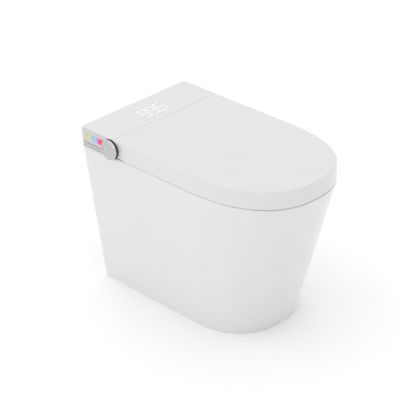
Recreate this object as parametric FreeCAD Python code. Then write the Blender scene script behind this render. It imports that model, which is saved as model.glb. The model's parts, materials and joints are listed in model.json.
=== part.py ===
import FreeCAD, Part
import math
import os

V = FreeCAD.Vector

# Floor-standing tankless smart toilet. Millimetres, +Z up. The origin is the drain outlet's centre at floor
# level, the front of the toilet points to -Y and the user's right hand side, with the control panel, is -X.

# ---------------------------------------------------------------- driving dimensions
rough_in = 300.0             # wall face to the centre of the drain outlet
length = 690.0               # wall face to the tip of the lid
width = 381.0                # over the lid and the top of the ceramic
height = 483.0               # floor to the flat top of lid and housing
upper_height = 51.5          # lid and housing, above the flat top of the ceramic

rear = rough_in
front = rear - length
half = width / 2
side = -half                 # the side with the control panel
ceramic_top = height - upper_height

# Ceramic
foot_taper = 37.2            # each side at the floor, inside that at the top
foot_setback = 145.0         # tip of the foot behind the tip of the lid
nose_depth = 283.5           # length of the rounded nose at the top
foot_nose_depth = 171.4      # length of the rounded nose at the floor
nose_power = 2.4             # superellipse exponent of the nose at the top
foot_nose_power = 2.29       # the same at the floor
rear_corner = 8.0            # rounding of the rear corners, in plan
foot_corner_more = 4.0       # the corners at the floor are rounder by this
skirt_wall = 12.0
inner_corner = 4.0           # the same corners inside the skirt
deck_thick = 14.0            # flat top of the ceramic, round the bowl
rim_edge_round = 2.5
mouth_round = 4.0            # edge of the bowl's mouth in the deck
foot_width = width - 2 * foot_taper
foot_front = front + foot_setback
deck_under = ceramic_top - deck_thick

# Bowl, as ellipses from the rim to the sump: depth under the deck, then half width, half length and the
# centre's distance from the bowl's rear edge, as shares of the rim's half width, half length and length
bowl_back = 15.0             # rear edge of the bowl at the rim
rim_band = 49.0              # flat rim in front of the bowl
rim_side = 60.5              # flat rim beside the bowl
bowl_sections = [
    (0.0, 1.0, 1.0, 0.5),
    (42.5, 0.931, 0.921, 0.483),
    (92.5, 0.738, 0.730, 0.447),
    (142.5, 0.508, 0.472, 0.402),
    (185.5, 0.362, 0.303, 0.374),
    (209.5, 0.262, 0.2135, 0.368),
]
bowl_wall = 11.0
bowl_floor = 13.0
bowl_long = bowl_back - front - rim_band
bowl_wide = half - rim_side
sump_y = bowl_back - bowl_sections[-1][3] * bowl_long
bay_half_width = 64.0        # trough behind the bowl for the wash unit
bay_back = 130.0
bay_wall = 9.0
bay_overlap = 50.0           # the trough's length inside the bowl
bay_floor_low = (bowl_back - 1.0, deck_under - 51.5)    # (y, z) where its floor leaves the bowl
bay_floor_high = (bay_back, deck_under + 6.5)           # (y, z) where it meets the deck

# Trapway, as (y, z) corners of its centreline and the bend radius at each
trap_weir = deck_under - 105.5
trap_points = [(sump_y - 2.0, deck_under - 183.5), (bowl_back - 0.197 * bowl_long, deck_under - 191.5),
               (20.0, trap_weir), (85.0, trap_weir), (85.0, 152.0), (0.0, 74.0), (0.0, 24.0)]
trap_bends = [50.0, 50.0, 41.0, 60.0, 56.0]
trap_bore = 26.0
trap_wall = 9.0
seal_bore = 40.0
seal_outer = 64.0

# Service openings in the ceramic
tank_side = 90.5             # side of the toilet to the tank's opening in the deck
tank_opening = (half - tank_side, 190.0, 280.0)   # half width, front y and back y
opening_corner = 15.0
window_half_width = 95.0     # window in the back of the skirt
window_low = 60.0
window_high = 230.0
window_corner = 30.0
pipe_hole = 16.0             # holes for the water inlet and the cable gland
inlet_place = (half - 65.5, 258.0)
gland_place = (-inlet_place[0], inlet_place[1])

# Lid, seat and rear housing
lid_bottom = ceramic_top + 4.0
lid_rear = 169.4
lid_corner = 1.0             # its rear corners, in plan
seam = 0.6                   # between lid and housing
lid_wall = 3.2
lid_edge_round = 4.0
lid_bumper_radius = 7.0
lid_bumper_spots = [(0.0, front + 40), (half - 70.5, -190.0), (70.5 - half, -190.0), (half - 55.5, 40.0),
                    (55.5 - half, 40.0)]
rest_gap = 0.3               # between pieces of two bodies at rest
cover_wall = 2.8
cover_edge_round = 2.4
cover_bottom = ceramic_top + 0.5
hinge_drop = 17.0            # hinge axis below the lid's top
hinge_setback = 20.4         # hinge axis in front of the lid's rear edge
hinge_floor_gap = 1.0        # kept between the turning skirt of the lid and the ceramic
axis_y = lid_rear - hinge_setback
axis_z = height - hinge_drop

block_half_width = 102.5     # wash unit cover, in front of the seam and under the lid
block_front = 62.0
block_wall = 2.6
block_side_round = 1.6       # long edges of its two sides
block_bottom = ceramic_top + 0.5
block_low_top = ceramic_top + 10.5     # its low rear part, under the sweep of the lid's edge
block_lean = math.radians(10)          # its back below the hinge axis
block_crown_gap = 1.0                  # to the inside of the lid
brow_depth = 34.0                      # its sloping front edge
brow_drop = 5.0
brow_low = height - 28.0

lug_gap = 0.6
seat_lug_width = 16.0
lid_lug_width = 12.0
lug_radius = 9.5
lid_web = 26.0               # reach of the lid's hinge webs in front of the axis
shaft_radius = 4.0
shaft_collar = 2.0           # collar over the shaft's radius
running_gap = 0.06

seat_inset = 7.6             # seat edge inside the lid's outer face
seat_bottom = ceramic_top + 4.5
seat_split = ceramic_top + 13.5        # joint of its two shells
seat_top = ceramic_top + 30.5
seat_rear = 134.0
seat_corner = 10.0
seat_wall = 3.0
seat_edge_round = 7.0
tray_edge_round = 2.0        # lower edges of the seat
seat_hole_back = -18.0       # rear edge of the seat's hole
seat_rim = 72.0              # seat in front of its hole
seat_side = 82.5             # seat beside its hole
seat_long = (seat_hole_back - front - seat_rim) / 2
seat_hole = (half - seat_side, seat_long, seat_hole_back - seat_long)   # half width, half length, centre
seat_web = 16.0
seat_block_gap = 4.0
seat_foot = (14.0, 7.0, 6.0)           # half length, half width and corner of a seat bumper
seat_foot_spots = [(70.0, front + 46), (-70.0, front + 46), (half - 40.5, -60.0), (40.5 - half, -60.0)]
heater_thick = 0.6
heater_margin = 6.0
base_thick = 4.0
base_top = ceramic_top + base_thick
base_gap = 1.0               # base plate inside the housing's walls
tongue_inset = 6.0           # its tongue inside the wash unit's cover, at each side

# Control panel and knob on the -X side
panel_gap = 0.5              # panel stands off the side, so that the lid passes behind it
panel_thick = 1.7
panel_low = ceramic_top + 1.7
panel_high = height - 1.6
panel_corner = 2.5
panel_end = 6.0              # panel behind its last key
knob_y = 172.0
knob_z = height - 25.4
bezel_radius = 27.8
bezel_inner = 20.0
bezel_thick = 4.0
knob_radius = 27.0
knob_wall = 2.2
knob_edge_round = 1.2
mark_radius = 1.5            # round dimple in the knob's face, which shows its turn
mark_depth = 0.5
mark_inset = 6.5             # its centre from the knob's rim
knob_face = 15.5             # face of the knob from the side of the toilet
knob_travel = 1.5
knob_pin = 5.0
hub_radius = 9.0
hub_wall = 2.5
carrier_radius = 14.0
carrier_thick = 1.2
sleeve_gap = 0.2
window_y = (203.0, 281.0)
window_z = (height - 30.6, height - 9.4)
lens_fit = 0.15
key_count = 4
key_row = (213.0, 286.0)
key_z = (ceramic_top + 6.1, ceramic_top + 13.1)
key_gap = 2.2
key_proud = 0.7
key_travel = 0.8
key_clear = 0.3
key_flange = 0.8
module_depth = 8.7           # electronics behind the panel
module_rim = 1.6
pocket_room = 0.4            # round the keys' flanges, in the pocket behind them

# Wash unit, tilted so that its nozzles slide down and forward over the bowl
nozzle_angle = 27.0          # below the horizontal
nozzle_spacing = 26.0
nozzle_radius = 6.0
nozzle_length = 128.0
nozzle_tip = (30.0, ceramic_top - 33.5)   # (y, z) of the tips' centre when stowed
nozzle_clear = 0.35
nozzle_dome = 2.6
nozzle_bore = 2.5            # water passage
jet_radius = 0.9
jet_places = ((0.0, 7.0), (-1.9, 10.5), (1.9, 10.5))    # aside and behind the tip
guide_start = 8.0            # along the nozzle, from its stowed tip
guide_end = 131.0            # closed behind the nozzles, which water pushes out
guide_half = 10.5            # half height
guide_side = 5.0
hood_reach = 6.0             # roof of the guide over the tips
hood_thick = 2.4
wing_gap = 1.0               # guide's crossbar behind the blowers
wing_depth = 10.0
wing_thick = 3.0
wing_half = block_half_width - 26.5

# Dryer on the +X side and deodoriser on the -X side of the nozzles, each a scroll blower with a straight duct
scroll_inner = 31.0          # nearest face to the middle
scroll_width = 30.0
scroll_radius = 20.0
scroll_wall = 1.6
scroll_at = 80.0             # fan centre along the nozzles
duct_start = 14.0
duct_half = 9.0
duct_fit = 0.3               # heater and filter inside their ducts
impeller_radius = 15.5
impeller_width = 22.0
blade_count = 18
blade_thick = 1.0
blade_depth = 4.0
blade_lean = 25.0
ring_width = 1.5             # rings that carry the blades, and the hub's plate
inlet_radius = 10.5          # air inlet in the side of each blower
fan_shaft = 1.5
fan_hub = 4.0
fan_motor_radius = 8.0
fan_motor_length = 16.0
flap_thick = 1.6
flap_pin = 1.2
flap_pivot = (duct_start - 2.2, duct_half + 0.6)
heater_at = 26.0             # along the duct
fin_count = 4
fin_pitch = 6.0
fin_thick = 1.2
rail_wide = 2.0
filter_at = 24.0
filter_depth = 14.0
cell_radius = 1.9
cell_pitch = 5.0

# Hinge drives, in the wash unit's rounded back
drive_radius = 9.8
drive_inner = 30.0
drive_outer = block_half_width - 5.5
drive_foot = 8.0
shaft_grip = 26.0            # shaft length inside its drive

# Flush system in the rear of the ceramic
tank_wall = 3.0
tank_gap = 4.0               # tank to the edge of its opening in the deck
tank_bottom = ceramic_top - 175.5
tank_corner = 12.0
tank_flange = 10.0
flange_thick = 3.0
flange_corner = 20.0
tank_lid_thick = 2.5
pipe_x = 50.0
pipe_low = 150.0             # height of the pipe's level run
pipe_radius = 12.0
pipe_bore = 9.5
spud_z = deck_under - 192.5
pipe_route = [(235.0, tank_bottom), (235.0, pipe_low), (20.0, pipe_low), (sump_y + 86.0, spud_z),
              (sump_y + 58.0, spud_z)]
pipe_bends = [30.0, 40.0, 22.0]
spud_radius = 18.0
spud_mouth = sump_y + 72.0
socket_gap = 0.3
jet_hole = 8.0
jet_turn = 10.0              # the jet's hole slants inwards by this on its way into the sump
pump_radius = 22.0
pump_volute = 20.0           # height of its volute
pump_motor_radius = 17.0
pump_height = 62.0
pump_slot = (3.0, 8.0, 8.0)  # height of the inlet slot's foot, its height and its width
valve_x = 40.0 - tank_opening[0]
valve_radius = 16.0
valve_height = 24.0
valve_cap = (11.0, 12.0)     # radius and height
valve_stem = 8.6
valve_reach = ceramic_top - 101.5

# Fixings
bolt_x = half - 34.5
bolt_places = [(-bolt_x, 190.0), (bolt_x, 190.0), (-bolt_x, 278.0), (bolt_x, 278.0)]
bolt_radius = 3.0
bolt_hole = 3.3
bolt_tail = 14.0             # shank under the deck
bolt_head = (6.5, 3.6)       # radius and height
bolt_socket = (3.0, 2.2)     # circle round its hexagon, and depth
nut_size = (8.0, 8.0)        # circle round its hexagon, and height
bracket_y = 120.0
bracket_width = 44.0
bracket_thick = 4.0
bracket_height = 40.0
bracket_foot = 42.0
bracket_bend = 3.0
bracket_x = foot_width / 2 - skirt_wall - rest_gap
anchor_x = bracket_x - 26.0
anchor_hole = 5.0

# Readout under the top of the housing
readout_x = (-40.0, 53.0)
readout_y = (193.0, 258.0)
readout_thick = 3.6
readout_corner = 2.0

# Water, heat and power
stub_radius = 10.4           # half-inch pipe thread
stub_bore = 7.0
stub_end = ceramic_top - 39.5
gland_radius = pipe_hole - 2.2
gland_bore = 4.2
gland_end = ceramic_top - 26.5
collar_radius = 18.0
collar_thick = 3.0
inlet_body = (20.0, 16.0, 16.0, 4.0)   # inlet valve: half width, half depth, height and corner
coil_size = (12.0, 20.0)               # radius and height
coil_port = 8.0
boiler_x = (6.5 - half + tank_side - 2.5, 2.0)
boiler_y = (188.0, 217.0)
boiler_height = 34.0
boiler_corner = 8.0
port_radius = 4.5
port_length = 10.0
wash_pump_x = (14.0, half - tank_side - 34.0, half - tank_side - 8.0)   # start, end of head, end of motor
wash_pump_y = 206.0
wash_pump_radius = (15.0, 11.0)        # head and motor
wash_pump_foot = (6.0, 10.0, 6.0)      # inset, half width and height
board_x = (18.5 - half, 78.5 - half)
board_y = (184.0, 234.0)
board_thick = 1.6
board_raise = 5.0
post_radius = 2.5
post_inset = 4.0
chip_size = (20.0, 18.0, 2.4)
plug_size = (8.0, 34.0, 8.4)
capacitor = (5.0, 15.4, 14.0)          # radius, height and pitch
supply_x = (half - 78.5, half - 12.5)
supply_y = (198.0, 240.0)
supply_height = 34.0
supply_corner = 3.0

# ---------------------------------------------------------------- values that follow from them
deck_front = lid_rear + seam
slope = math.radians(nozzle_angle)
inner_top = height - cover_wall
cover_sweep = math.hypot(hinge_setback + seam, hinge_drop)
skirt_sweep = axis_z - ceramic_top - hinge_floor_gap
block_radius = hinge_drop - lid_wall - block_crown_gap
seat_lug_start = block_half_width + lug_gap
seat_lug_end = seat_lug_start + seat_lug_width
lid_lug_start = seat_lug_end + lug_gap
lid_lug_end = lid_lug_start + lid_lug_width
face_x = side - knob_face
panel_back = side - panel_gap
panel_face = panel_back - panel_thick
tank_lid_top = ceramic_top + flange_thick + tank_lid_thick

OUT = "parts"
shapes = {}


# ---------------------------------------------------------------- helpers
def box(x0, x1, y0, y1, z0, z1):
    return Part.makeBox(x1 - x0, y1 - y0, z1 - z0, V(x0, y0, z0))


def rod(radius, start, end):
    along = end - start
    return Part.makeCylinder(radius, along.Length, start, along)


def rod_x(radius, x0, x1, y, z):
    return rod(radius, V(x0, y, z), V(x1, y, z))


def rod_z(radius, x, y, z0, z1):
    return rod(radius, V(x, y, z0), V(x, y, z1))


def tube_z(outer, inner, x, y, z0, z1):
    return rod_z(outer, x, y, z0, z1).cut(rod_z(inner, x, y, z0 - 1, z1 + 1))


def hex_z(radius, x, y, z0, z1):
    """An upright hexagonal prism inside the circle of this radius."""
    turns = [i * math.pi / 3 for i in range(7)]
    corners = [V(x + radius * math.cos(t), y + radius * math.sin(t), z0) for t in turns]
    return Part.Face(Part.makePolygon(corners)).extrude(V(0, 0, z1 - z0))


def mirrored(sign, x0, x1):
    """The span from x0 to x1 on the side given by sign, in rising order."""
    return sorted((sign * x0, sign * x1))


def fuse(pieces):
    return pieces[0].multiFuse(pieces[1:]).removeSplitter() if len(pieces) > 1 else pieces[0]


def cut(body, tools):
    for tool in tools:
        body = body.cut(tool)
    return body


def prism_x(points, x0, x1):
    """Extrudes a (y, z) polygon along X."""
    wire = Part.makePolygon([V(x0, y, z) for y, z in points + points[:1]])
    return Part.Face(wire).extrude(V(x1 - x0, 0, 0))


def along_axis(edge, axis):
    """Whether an edge runs along one axis only."""
    spans = {"x": edge.BoundBox.XLength, "y": edge.BoundBox.YLength, "z": edge.BoundBox.ZLength}
    return all(span < 1e-6 for name, span in spans.items() if name != axis)


def rounded_box(x0, x1, y0, y1, z0, z1, radius, axis="z"):
    """A box whose four edges along one axis are rounded."""
    body = box(x0, x1, y0, y1, z0, z1)
    return body.makeFillet(radius, [e for e in body.Edges if along_axis(e, axis)])


def nose_curve(a, shoulder, tip, power, z, count=16):
    """The rounded front as a superellipse from (a, shoulder) round the tip to (-a, shoulder)."""
    depth = shoulder - tip
    points = []
    for i in range(count + 1):
        t = math.pi * i / count
        c, s = math.cos(t), math.sin(t)
        x = a * math.copysign(abs(c) ** (2 / power), c)
        points.append(V(x, shoulder - depth * abs(s) ** (2 / power), z))
    curve = Part.BSplineCurve()
    curve.interpolate(Points=points, InitialTangent=V(0, -1, 0), FinalTangent=V(0, 1, 0))
    return curve.toShape()


def d_wire(a, back, tip, shoulder, power, corner, z):
    """The toilet's plan outline at one height: a straight back, straight sides and a rounded nose."""
    bend = corner * (1 - math.sqrt(0.5))
    line = lambda p, q: Part.makeLine(V(*p, z), V(*q, z))
    arc = lambda p, m, q: Part.Arc(V(*p, z), V(*m, z), V(*q, z)).toShape()
    edges = [
        nose_curve(a, shoulder, tip, power, z),
        line((-a, shoulder), (-a, back - corner)),
        arc((-a, back - corner), (-a + bend, back - bend), (-a + corner, back)),
        line((-a + corner, back), (a - corner, back)),
        arc((a - corner, back), (a - bend, back - bend), (a, back - corner)),
        line((a, back - corner), (a, shoulder)),
    ]
    return Part.Wire(edges)


def top_outline(inset, back, corner, z):
    """The plan of lid, housing and ceramic top, moved in by inset."""
    shoulder = front + nose_depth
    return d_wire(half - inset, back, front + inset, shoulder, nose_power, corner, z)


def foot_outline(inset, z):
    shoulder = foot_front + foot_nose_depth
    corner = max(rear_corner + foot_corner_more - inset / 2, 2.0)
    a = foot_width / 2 - inset
    return d_wire(a, rear - inset, foot_front + inset, shoulder, foot_nose_power, corner, z)


def slab(wire, thick):
    return Part.Face(wire).extrude(V(0, 0, thick))


def ellipse_wire(a, b, y, z):
    """An ellipse with half width a and half length b, centred on (0, y)."""
    if b >= a:
        curve = Part.Ellipse(V(0, y + b, z), V(a, y, z), V(0, y, z))
    else:
        curve = Part.Ellipse(V(a, y, z), V(0, y + b, z), V(0, y, z))
    return Part.Wire([curve.toShape()])


def level_edges(body, z):
    return [e for e in body.Edges if abs(e.BoundBox.ZMin - z) < 1e-4 and abs(e.BoundBox.ZMax - z) < 1e-4]


def rounded_path(points, bends):
    """A wire through (y, z) corners in the plane x = 0, each corner an arc of its own radius."""
    corners = [V(0, y, z) for y, z in points]
    edges = []
    at = corners[0]
    for i, radius in enumerate(bends, 1):
        into = (corners[i] - corners[i - 1]).normalize()
        away = (corners[i + 1] - corners[i]).normalize()
        turn = into.getAngle(away)
        reach = radius * math.tan(turn / 2)
        first = corners[i] - into * reach
        last = corners[i] + away * reach
        inward = (away - into).normalize()
        middle = corners[i] + inward * (radius / math.cos(turn / 2) - radius)
        if (first - at).Length > 1e-6:
            edges.append(Part.makeLine(at, first))
        edges.append(Part.Arc(first, middle, last).toShape())
        at = last
    edges.append(Part.makeLine(at, corners[-1]))
    return Part.Wire(edges)


def swept_rod(path, radius):
    start = path.Edges[0].Vertexes[0].Point
    tangent = path.Edges[0].tangentAt(path.Edges[0].FirstParameter)
    circle = Part.Wire([Part.Circle(start, tangent, radius).toShape()])
    return path.makePipe(Part.Face(circle))


def add(name, shape):
    """Keeps a finished sub-part as a compound of its solids."""
    solids = [s for s in shape.Solids if s.Volume > 1e-3]
    if not solids:
        raise ValueError(name + " has no solid")
    shapes[name] = solids[0] if len(solids) == 1 else Part.makeCompound(solids)


# ---------------------------------------------------------------- ceramic
def bowl_solid(grow, floor_drop):
    wires = []
    for i, (depth, wide, long, back) in enumerate(bowl_sections):
        low = floor_drop if i == len(bowl_sections) - 1 else 0.0
        a = bowl_wide * wide + grow
        b = bowl_long / 2 * long + grow
        wires.append(ellipse_wire(a, b, bowl_back - bowl_long * back, deck_under - depth - low))
    return Part.makeLoft(wires, True, False)


def bay_solid(grow):
    """The trough for the wash unit: its floor slopes down to the bowl."""
    (y0, z0), (y1, z1) = bay_floor_low, bay_floor_high
    start = y0 - bay_overlap
    profile = [(start, z0 - grow - bay_wall), (y0, z0 - grow), (y1 + grow, z1 - grow / 2)]
    profile += [(y1 + grow, ceramic_top + 1), (start, ceramic_top + 1)]
    return prism_x(profile, -bay_half_width - grow, bay_half_width + grow)


def mouth_edges(skirt):
    """The edges of the bowl and its trough in the top of the deck."""
    found = []
    for edge in level_edges(skirt, ceramic_top):
        span = edge.BoundBox
        ahead = span.YMin > front + rim_band / 2 and span.YMax < bay_back + 0.5
        if ahead and max(abs(span.XMin), abs(span.XMax)) < bowl_wide + 0.5:
            found.append(edge)
    return found


def skirt_solid():
    """The drafted outside of the toilet with its deck and every service opening."""
    outer = Part.makeLoft([foot_outline(0, 0), top_outline(0, rear, rear_corner, ceramic_top)], True, True)
    outer = outer.makeFillet(rim_edge_round, level_edges(outer, ceramic_top))
    inner_roof = top_outline(skirt_wall, rear - skirt_wall, inner_corner, deck_under)
    inner = Part.makeLoft([foot_outline(skirt_wall, 0), inner_roof], True, True)
    low, high = deck_under - 1, ceramic_top + 1
    rim_y = bowl_back - bowl_long / 2
    mouth = slab(ellipse_wire(bowl_wide, bowl_long / 2, rim_y, low), high - low)
    bay_mouth = bay_solid(0).common(box(-half, half, rim_y, bay_back, low, high))
    tank_half, tank_front, tank_back = tank_opening
    tank_mouth = rounded_box(-tank_half, tank_half, tank_front, tank_back, low, high, opening_corner)
    window = rounded_box(-window_half_width, window_half_width, rear - 2 * skirt_wall, rear + 1, window_low,
                         window_high, window_corner, "y")
    holes = [rod_z(pipe_hole, x, y, low, high) for x, y in (inlet_place, gland_place)]
    holes += [rod_z(bolt_hole, x, y, low, high) for x, y in bolt_places]
    skirt = cut(outer, [inner, mouth, bay_mouth, tank_mouth, window] + holes)
    return skirt.makeFillet(mouth_round, mouth_edges(skirt))


def make_skirt():
    """The outside of the casting as touching pieces: deck, back with its window, flat sides and front."""
    skirt = skirt_solid()
    wide, tip, wall = half + 1, front - 1, rear - skirt_wall
    straight = max(foot_front + foot_nose_depth, front + nose_depth)
    add("ceramic_deck", skirt.common(box(-wide, wide, tip, rear + 1, deck_under, ceramic_top + 1)))
    add("ceramic_back", skirt.common(box(-wide, wide, wall, rear + 1, -1, deck_under)))
    add("ceramic_sides", skirt.common(box(-wide, wide, straight, wall, -1, deck_under)))
    add("ceramic_front", skirt.common(box(-wide, wide, tip, straight, -1, deck_under)))


def make_bowl():
    """The bowl with the trough behind it and the flush spud, and the trapway down to the floor drain."""
    path = rounded_path(trap_points, trap_bends)
    passage = swept_rod(path, trap_bore)
    below_deck = box(-half, half, front, rear, 0, deck_under)
    outside = bowl_solid(bowl_wall, bowl_floor).fuse(bay_solid(bay_wall)).common(below_deck)
    bowl = cut(outside, [bowl_solid(0, 0), bay_solid(0), passage])
    trap = cut(swept_rod(path, trap_bore + trap_wall), [passage, outside])
    trap = max(trap.Solids, key=lambda s: s.Volume)
    foot = trap_points[-1][1]
    horn = tube_z(seal_outer, trap_bore, 0, 0, foot, foot + trap_wall)
    spud = rod(spud_radius, V(pipe_x, sump_y, spud_z), V(pipe_x, spud_mouth, spud_z)).cut(outside)
    spud = max(spud.Solids, key=lambda s: s.BoundBox.YMax)
    pipe_end = pipe_route[-1][0]
    socket = rod(pipe_radius + socket_gap, V(pipe_x, pipe_end, spud_z), V(pipe_x, spud_mouth + 1, spud_z))
    inward = V(pipe_x - jet_turn, sump_y + jet_turn, spud_z)
    jet = rod(jet_hole, inward, V(pipe_x, pipe_end + 1, spud_z))
    add("ceramic_bowl", cut(fuse([bowl, spud]), [socket, jet, trap]))
    add("ceramic_trapway", fuse([trap, horn]))
    add("outlet_seal", tube_z(seal_outer, seal_bore, 0, 0, 0, foot))


# ---------------------------------------------------------------- lid and seat
def lug(start, end, web):
    """A hinge eye round the axis with its web, without its bore."""
    return rod_x(lug_radius, start, end, axis_y, axis_z).fuse(prism_x(web, start, end))


def make_lid():
    body = slab(top_outline(0, lid_rear, lid_corner, lid_bottom), height - lid_bottom)
    body = body.makeFillet(lid_edge_round, level_edges(body, height))
    low = lid_bottom - 1
    inside = slab(top_outline(lid_wall, lid_rear + 9, lid_corner, low), height - lid_wall - low)
    corner = box(side - 1, half + 1, axis_y, lid_rear + 1, low, axis_z)
    corner = corner.cut(rod_x(skirt_sweep, side - 2, half + 2, axis_y, axis_z))
    body = cut(body, [inside, corner])
    web = [(axis_y - lug_radius, axis_z), (axis_y + lug_radius, axis_z)]
    web += [(axis_y + lug_radius, height - lid_wall), (axis_y - lid_web, height - lid_wall)]
    for sign in (1, -1):
        body = body.fuse(lug(sign * lid_lug_start, sign * lid_lug_end, web))
    keyed = rod_x(shaft_radius, lid_lug_start - 1, lid_lug_end + 1, axis_y, axis_z)
    free = rod_x(shaft_radius + running_gap, -lid_lug_end - 1, -lid_lug_start + 1, axis_y, axis_z)
    add("lid", cut(body.removeSplitter(), [keyed, free]))
    pads = [rod_z(lid_bumper_radius, x, y, seat_top + rest_gap, height - lid_wall)
            for x, y in lid_bumper_spots]
    add("lid_bumpers", Part.makeCompound(pads))
    shaft = rod_x(shaft_radius, drive_outer - shaft_grip, lid_lug_end + 1, axis_y, axis_z)
    collar = rod_x(shaft_radius + shaft_collar, lid_lug_end, lid_lug_end + 2.5, axis_y, axis_z)
    add("lid_shaft", shaft.fuse(collar))


def seat_plan(inset, z, thick):
    """The seat ring with its hole and the notch for the wash unit, as a slab with its edges moved in."""
    a, b, y = seat_hole
    ring = slab(top_outline(seat_inset + inset, seat_rear - inset, seat_corner, z), thick)
    hole = slab(ellipse_wire(a + inset, b + inset, y, z - 1), thick + 2)
    gap = block_half_width + lug_gap + inset
    notch = box(-gap, gap, block_front - seat_block_gap - inset, seat_rear + 1, z - 1, z + thick + 1)
    return cut(ring, [hole, notch])


def make_seat():
    shell = seat_plan(0, seat_split, seat_top - seat_split)
    shell = shell.makeFillet(seat_edge_round, level_edges(shell, seat_top))
    roof = seat_top - seat_wall
    hollow = seat_plan(seat_wall, seat_split - 1, roof - seat_split + 1)
    hollow = hollow.makeFillet(seat_edge_round - seat_wall, level_edges(hollow, roof))
    shell = shell.cut(hollow)
    web = [(seat_rear - seat_web, seat_split), (seat_rear, seat_split), (axis_y + 1, axis_z - lug_radius)]
    web += [(axis_y, axis_z + lug_radius), (seat_rear - seat_web, seat_top - 1)]
    for sign in (1, -1):
        shell = shell.fuse(lug(sign * seat_lug_start, sign * seat_lug_end, web))
    free = rod_x(shaft_radius + running_gap, seat_lug_start - 1, seat_lug_end + 1, axis_y, axis_z)
    keyed = rod_x(shaft_radius, -seat_lug_end - 1, -seat_lug_start + 1, axis_y, axis_z)
    add("seat_top_shell", cut(shell.removeSplitter(), [free, keyed]))
    tray = seat_plan(0, seat_bottom, seat_split - seat_bottom)
    tray = tray.makeFillet(tray_edge_round, level_edges(tray, seat_bottom))
    tray_floor = seat_bottom + seat_wall
    add("seat_base_shell", tray.cut(seat_plan(seat_wall, tray_floor, seat_split - tray_floor + 1)))
    foil = seat_plan(seat_wall + heater_margin, roof - heater_thick, heater_thick)
    ahead_of_webs = box(side, half, front, seat_rear - seat_web - 2, seat_split, seat_top)
    add("seat_heater_foil", foil.common(ahead_of_webs))
    long, wide, corner = seat_foot
    feet = [rounded_box(x - long, x + long, y - wide, y + wide, ceramic_top, seat_bottom, corner)
            for x, y in seat_foot_spots]
    add("seat_bumpers", Part.makeCompound(feet))
    shaft = rod_x(shaft_radius, -lid_lug_end - 1, shaft_grip - drive_outer, axis_y, axis_z)
    collar = rod_x(shaft_radius + shaft_collar, -lid_lug_end - 3.5, -lid_lug_end - 1, axis_y, axis_z)
    add("seat_shaft", shaft.fuse(collar))


# ---------------------------------------------------------------- rear housing
def cover_profile(inset):
    """(y, z) outline of the housing, hollowed in front round the hinge axis for the lid's edge."""
    reach = cover_sweep + inset
    face = deck_front + inset
    top = height - inset
    run = math.sqrt(reach ** 2 - (top - axis_z) ** 2)
    low_z = axis_z - math.sqrt(max(reach ** 2 - (face - axis_y) ** 2, 0))
    start = V(0, axis_y + run, top)
    end = V(0, face, low_z)
    arc = Part.Arc(start, V(0, axis_y + reach, axis_z), end).toShape()
    base = cover_bottom if inset == 0 else cover_bottom - 1
    back = rear - inset
    corners = [end, V(0, face, base), V(0, back, base), V(0, back, top), start]
    return Part.Wire([arc] + [Part.makeLine(p, q) for p, q in zip(corners, corners[1:])])


def cover_solid(inset):
    a = half - inset
    profile = Part.Face(cover_profile(inset))
    profile.translate(V(-a, 0, 0))
    plan = top_outline(inset, rear - inset, max(rear_corner - inset, 2), cover_bottom - 2)
    return profile.extrude(V(2 * a, 0, 0)).common(slab(plan, upper_height + 4))


def make_cover():
    body = cover_solid(0)
    top = [e for e in level_edges(body, height) if e.BoundBox.YMax > deck_front + 1 and e.Length > 5]
    body = body.makeFillet(cover_edge_round, top)
    opening = box(side - 1, side + cover_wall + 1, window_y[0] - 3, key_row[1] + 3, key_z[0] - 2,
                  window_z[1] + 2)
    tongue = block_half_width - tongue_inset + 1
    passage = box(-tongue, tongue, deck_front - 1, deck_front + cover_wall + 1, cover_bottom - 1,
                  block_low_top)
    body = cut(body, [cover_solid(cover_wall), opening, passage])
    add("top_cover", max(body.Solids, key=lambda s: s.Volume))


def make_base():
    back = rear - cover_wall - base_gap
    wide = half - cover_wall - base_gap
    ahead = deck_front + cover_wall + base_gap
    plate = rounded_box(-wide, wide, ahead, back, ceramic_top, base_top, rear_corner)
    tongue = block_half_width - tongue_inset
    plate = plate.fuse(box(-tongue, tongue, block_front + 5, tank_opening[1] - 5, ceramic_top, base_top))
    low, high = ceramic_top - 1, base_top + 1
    tank_half, tank_front, tank_back = tank_opening
    room = tank_flange - tank_gap + 2
    holes = [rounded_box(-tank_half - room, tank_half + room, tank_front - room, tank_back + room, low, high,
                         flange_corner)]
    holes += [box(-bay_half_width, bay_half_width, 0, bay_back, low, high)]
    holes += [rod_z(pipe_hole - 2, x, y, low, high) for x, y in (inlet_place, gland_place)]
    holes += [rod_z(bolt_hole, x, y, low, high) for x, y in bolt_places]
    add("housing_base", cut(plate.removeSplitter(), holes))


# ---------------------------------------------------------------- wash unit
def block_profile(inset):
    """(y, z) outline of the wash unit's cover, rounded about the hinge axis for lid and seat."""
    radius = block_radius - inset
    y0, low, top = block_front + inset, block_bottom - (1 if inset else 0), block_low_top - inset
    back = deck_front - lug_gap - inset
    crown = V(0, axis_y, axis_z + radius)
    heel = V(0, axis_y + radius * math.cos(block_lean), axis_z - radius * math.sin(block_lean))
    halfway = (math.pi / 2 - block_lean) / 2
    middle = V(0, axis_y + radius * math.cos(halfway), axis_z + radius * math.sin(halfway))
    toe_y = heel.y - (heel.z - top) * math.tan(block_lean)
    brow = [V(0, y0 + brow_depth, axis_z + radius - brow_drop), V(0, y0, brow_low - inset)]
    points = [heel, V(0, toe_y, top), V(0, back, top), V(0, back, low), V(0, y0, low)]
    points += [brow[1], brow[0], crown]
    sides = [Part.makeLine(p, q) for p, q in zip(points, points[1:])]
    return Part.Wire(sides + [Part.Arc(crown, middle, heel).toShape()])


def block_solid(inset):
    profile = Part.Face(block_profile(inset))
    profile.translate(V(-block_half_width + inset, 0, 0))
    return profile.extrude(V(2 * (block_half_width - inset), 0, 0))


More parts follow.
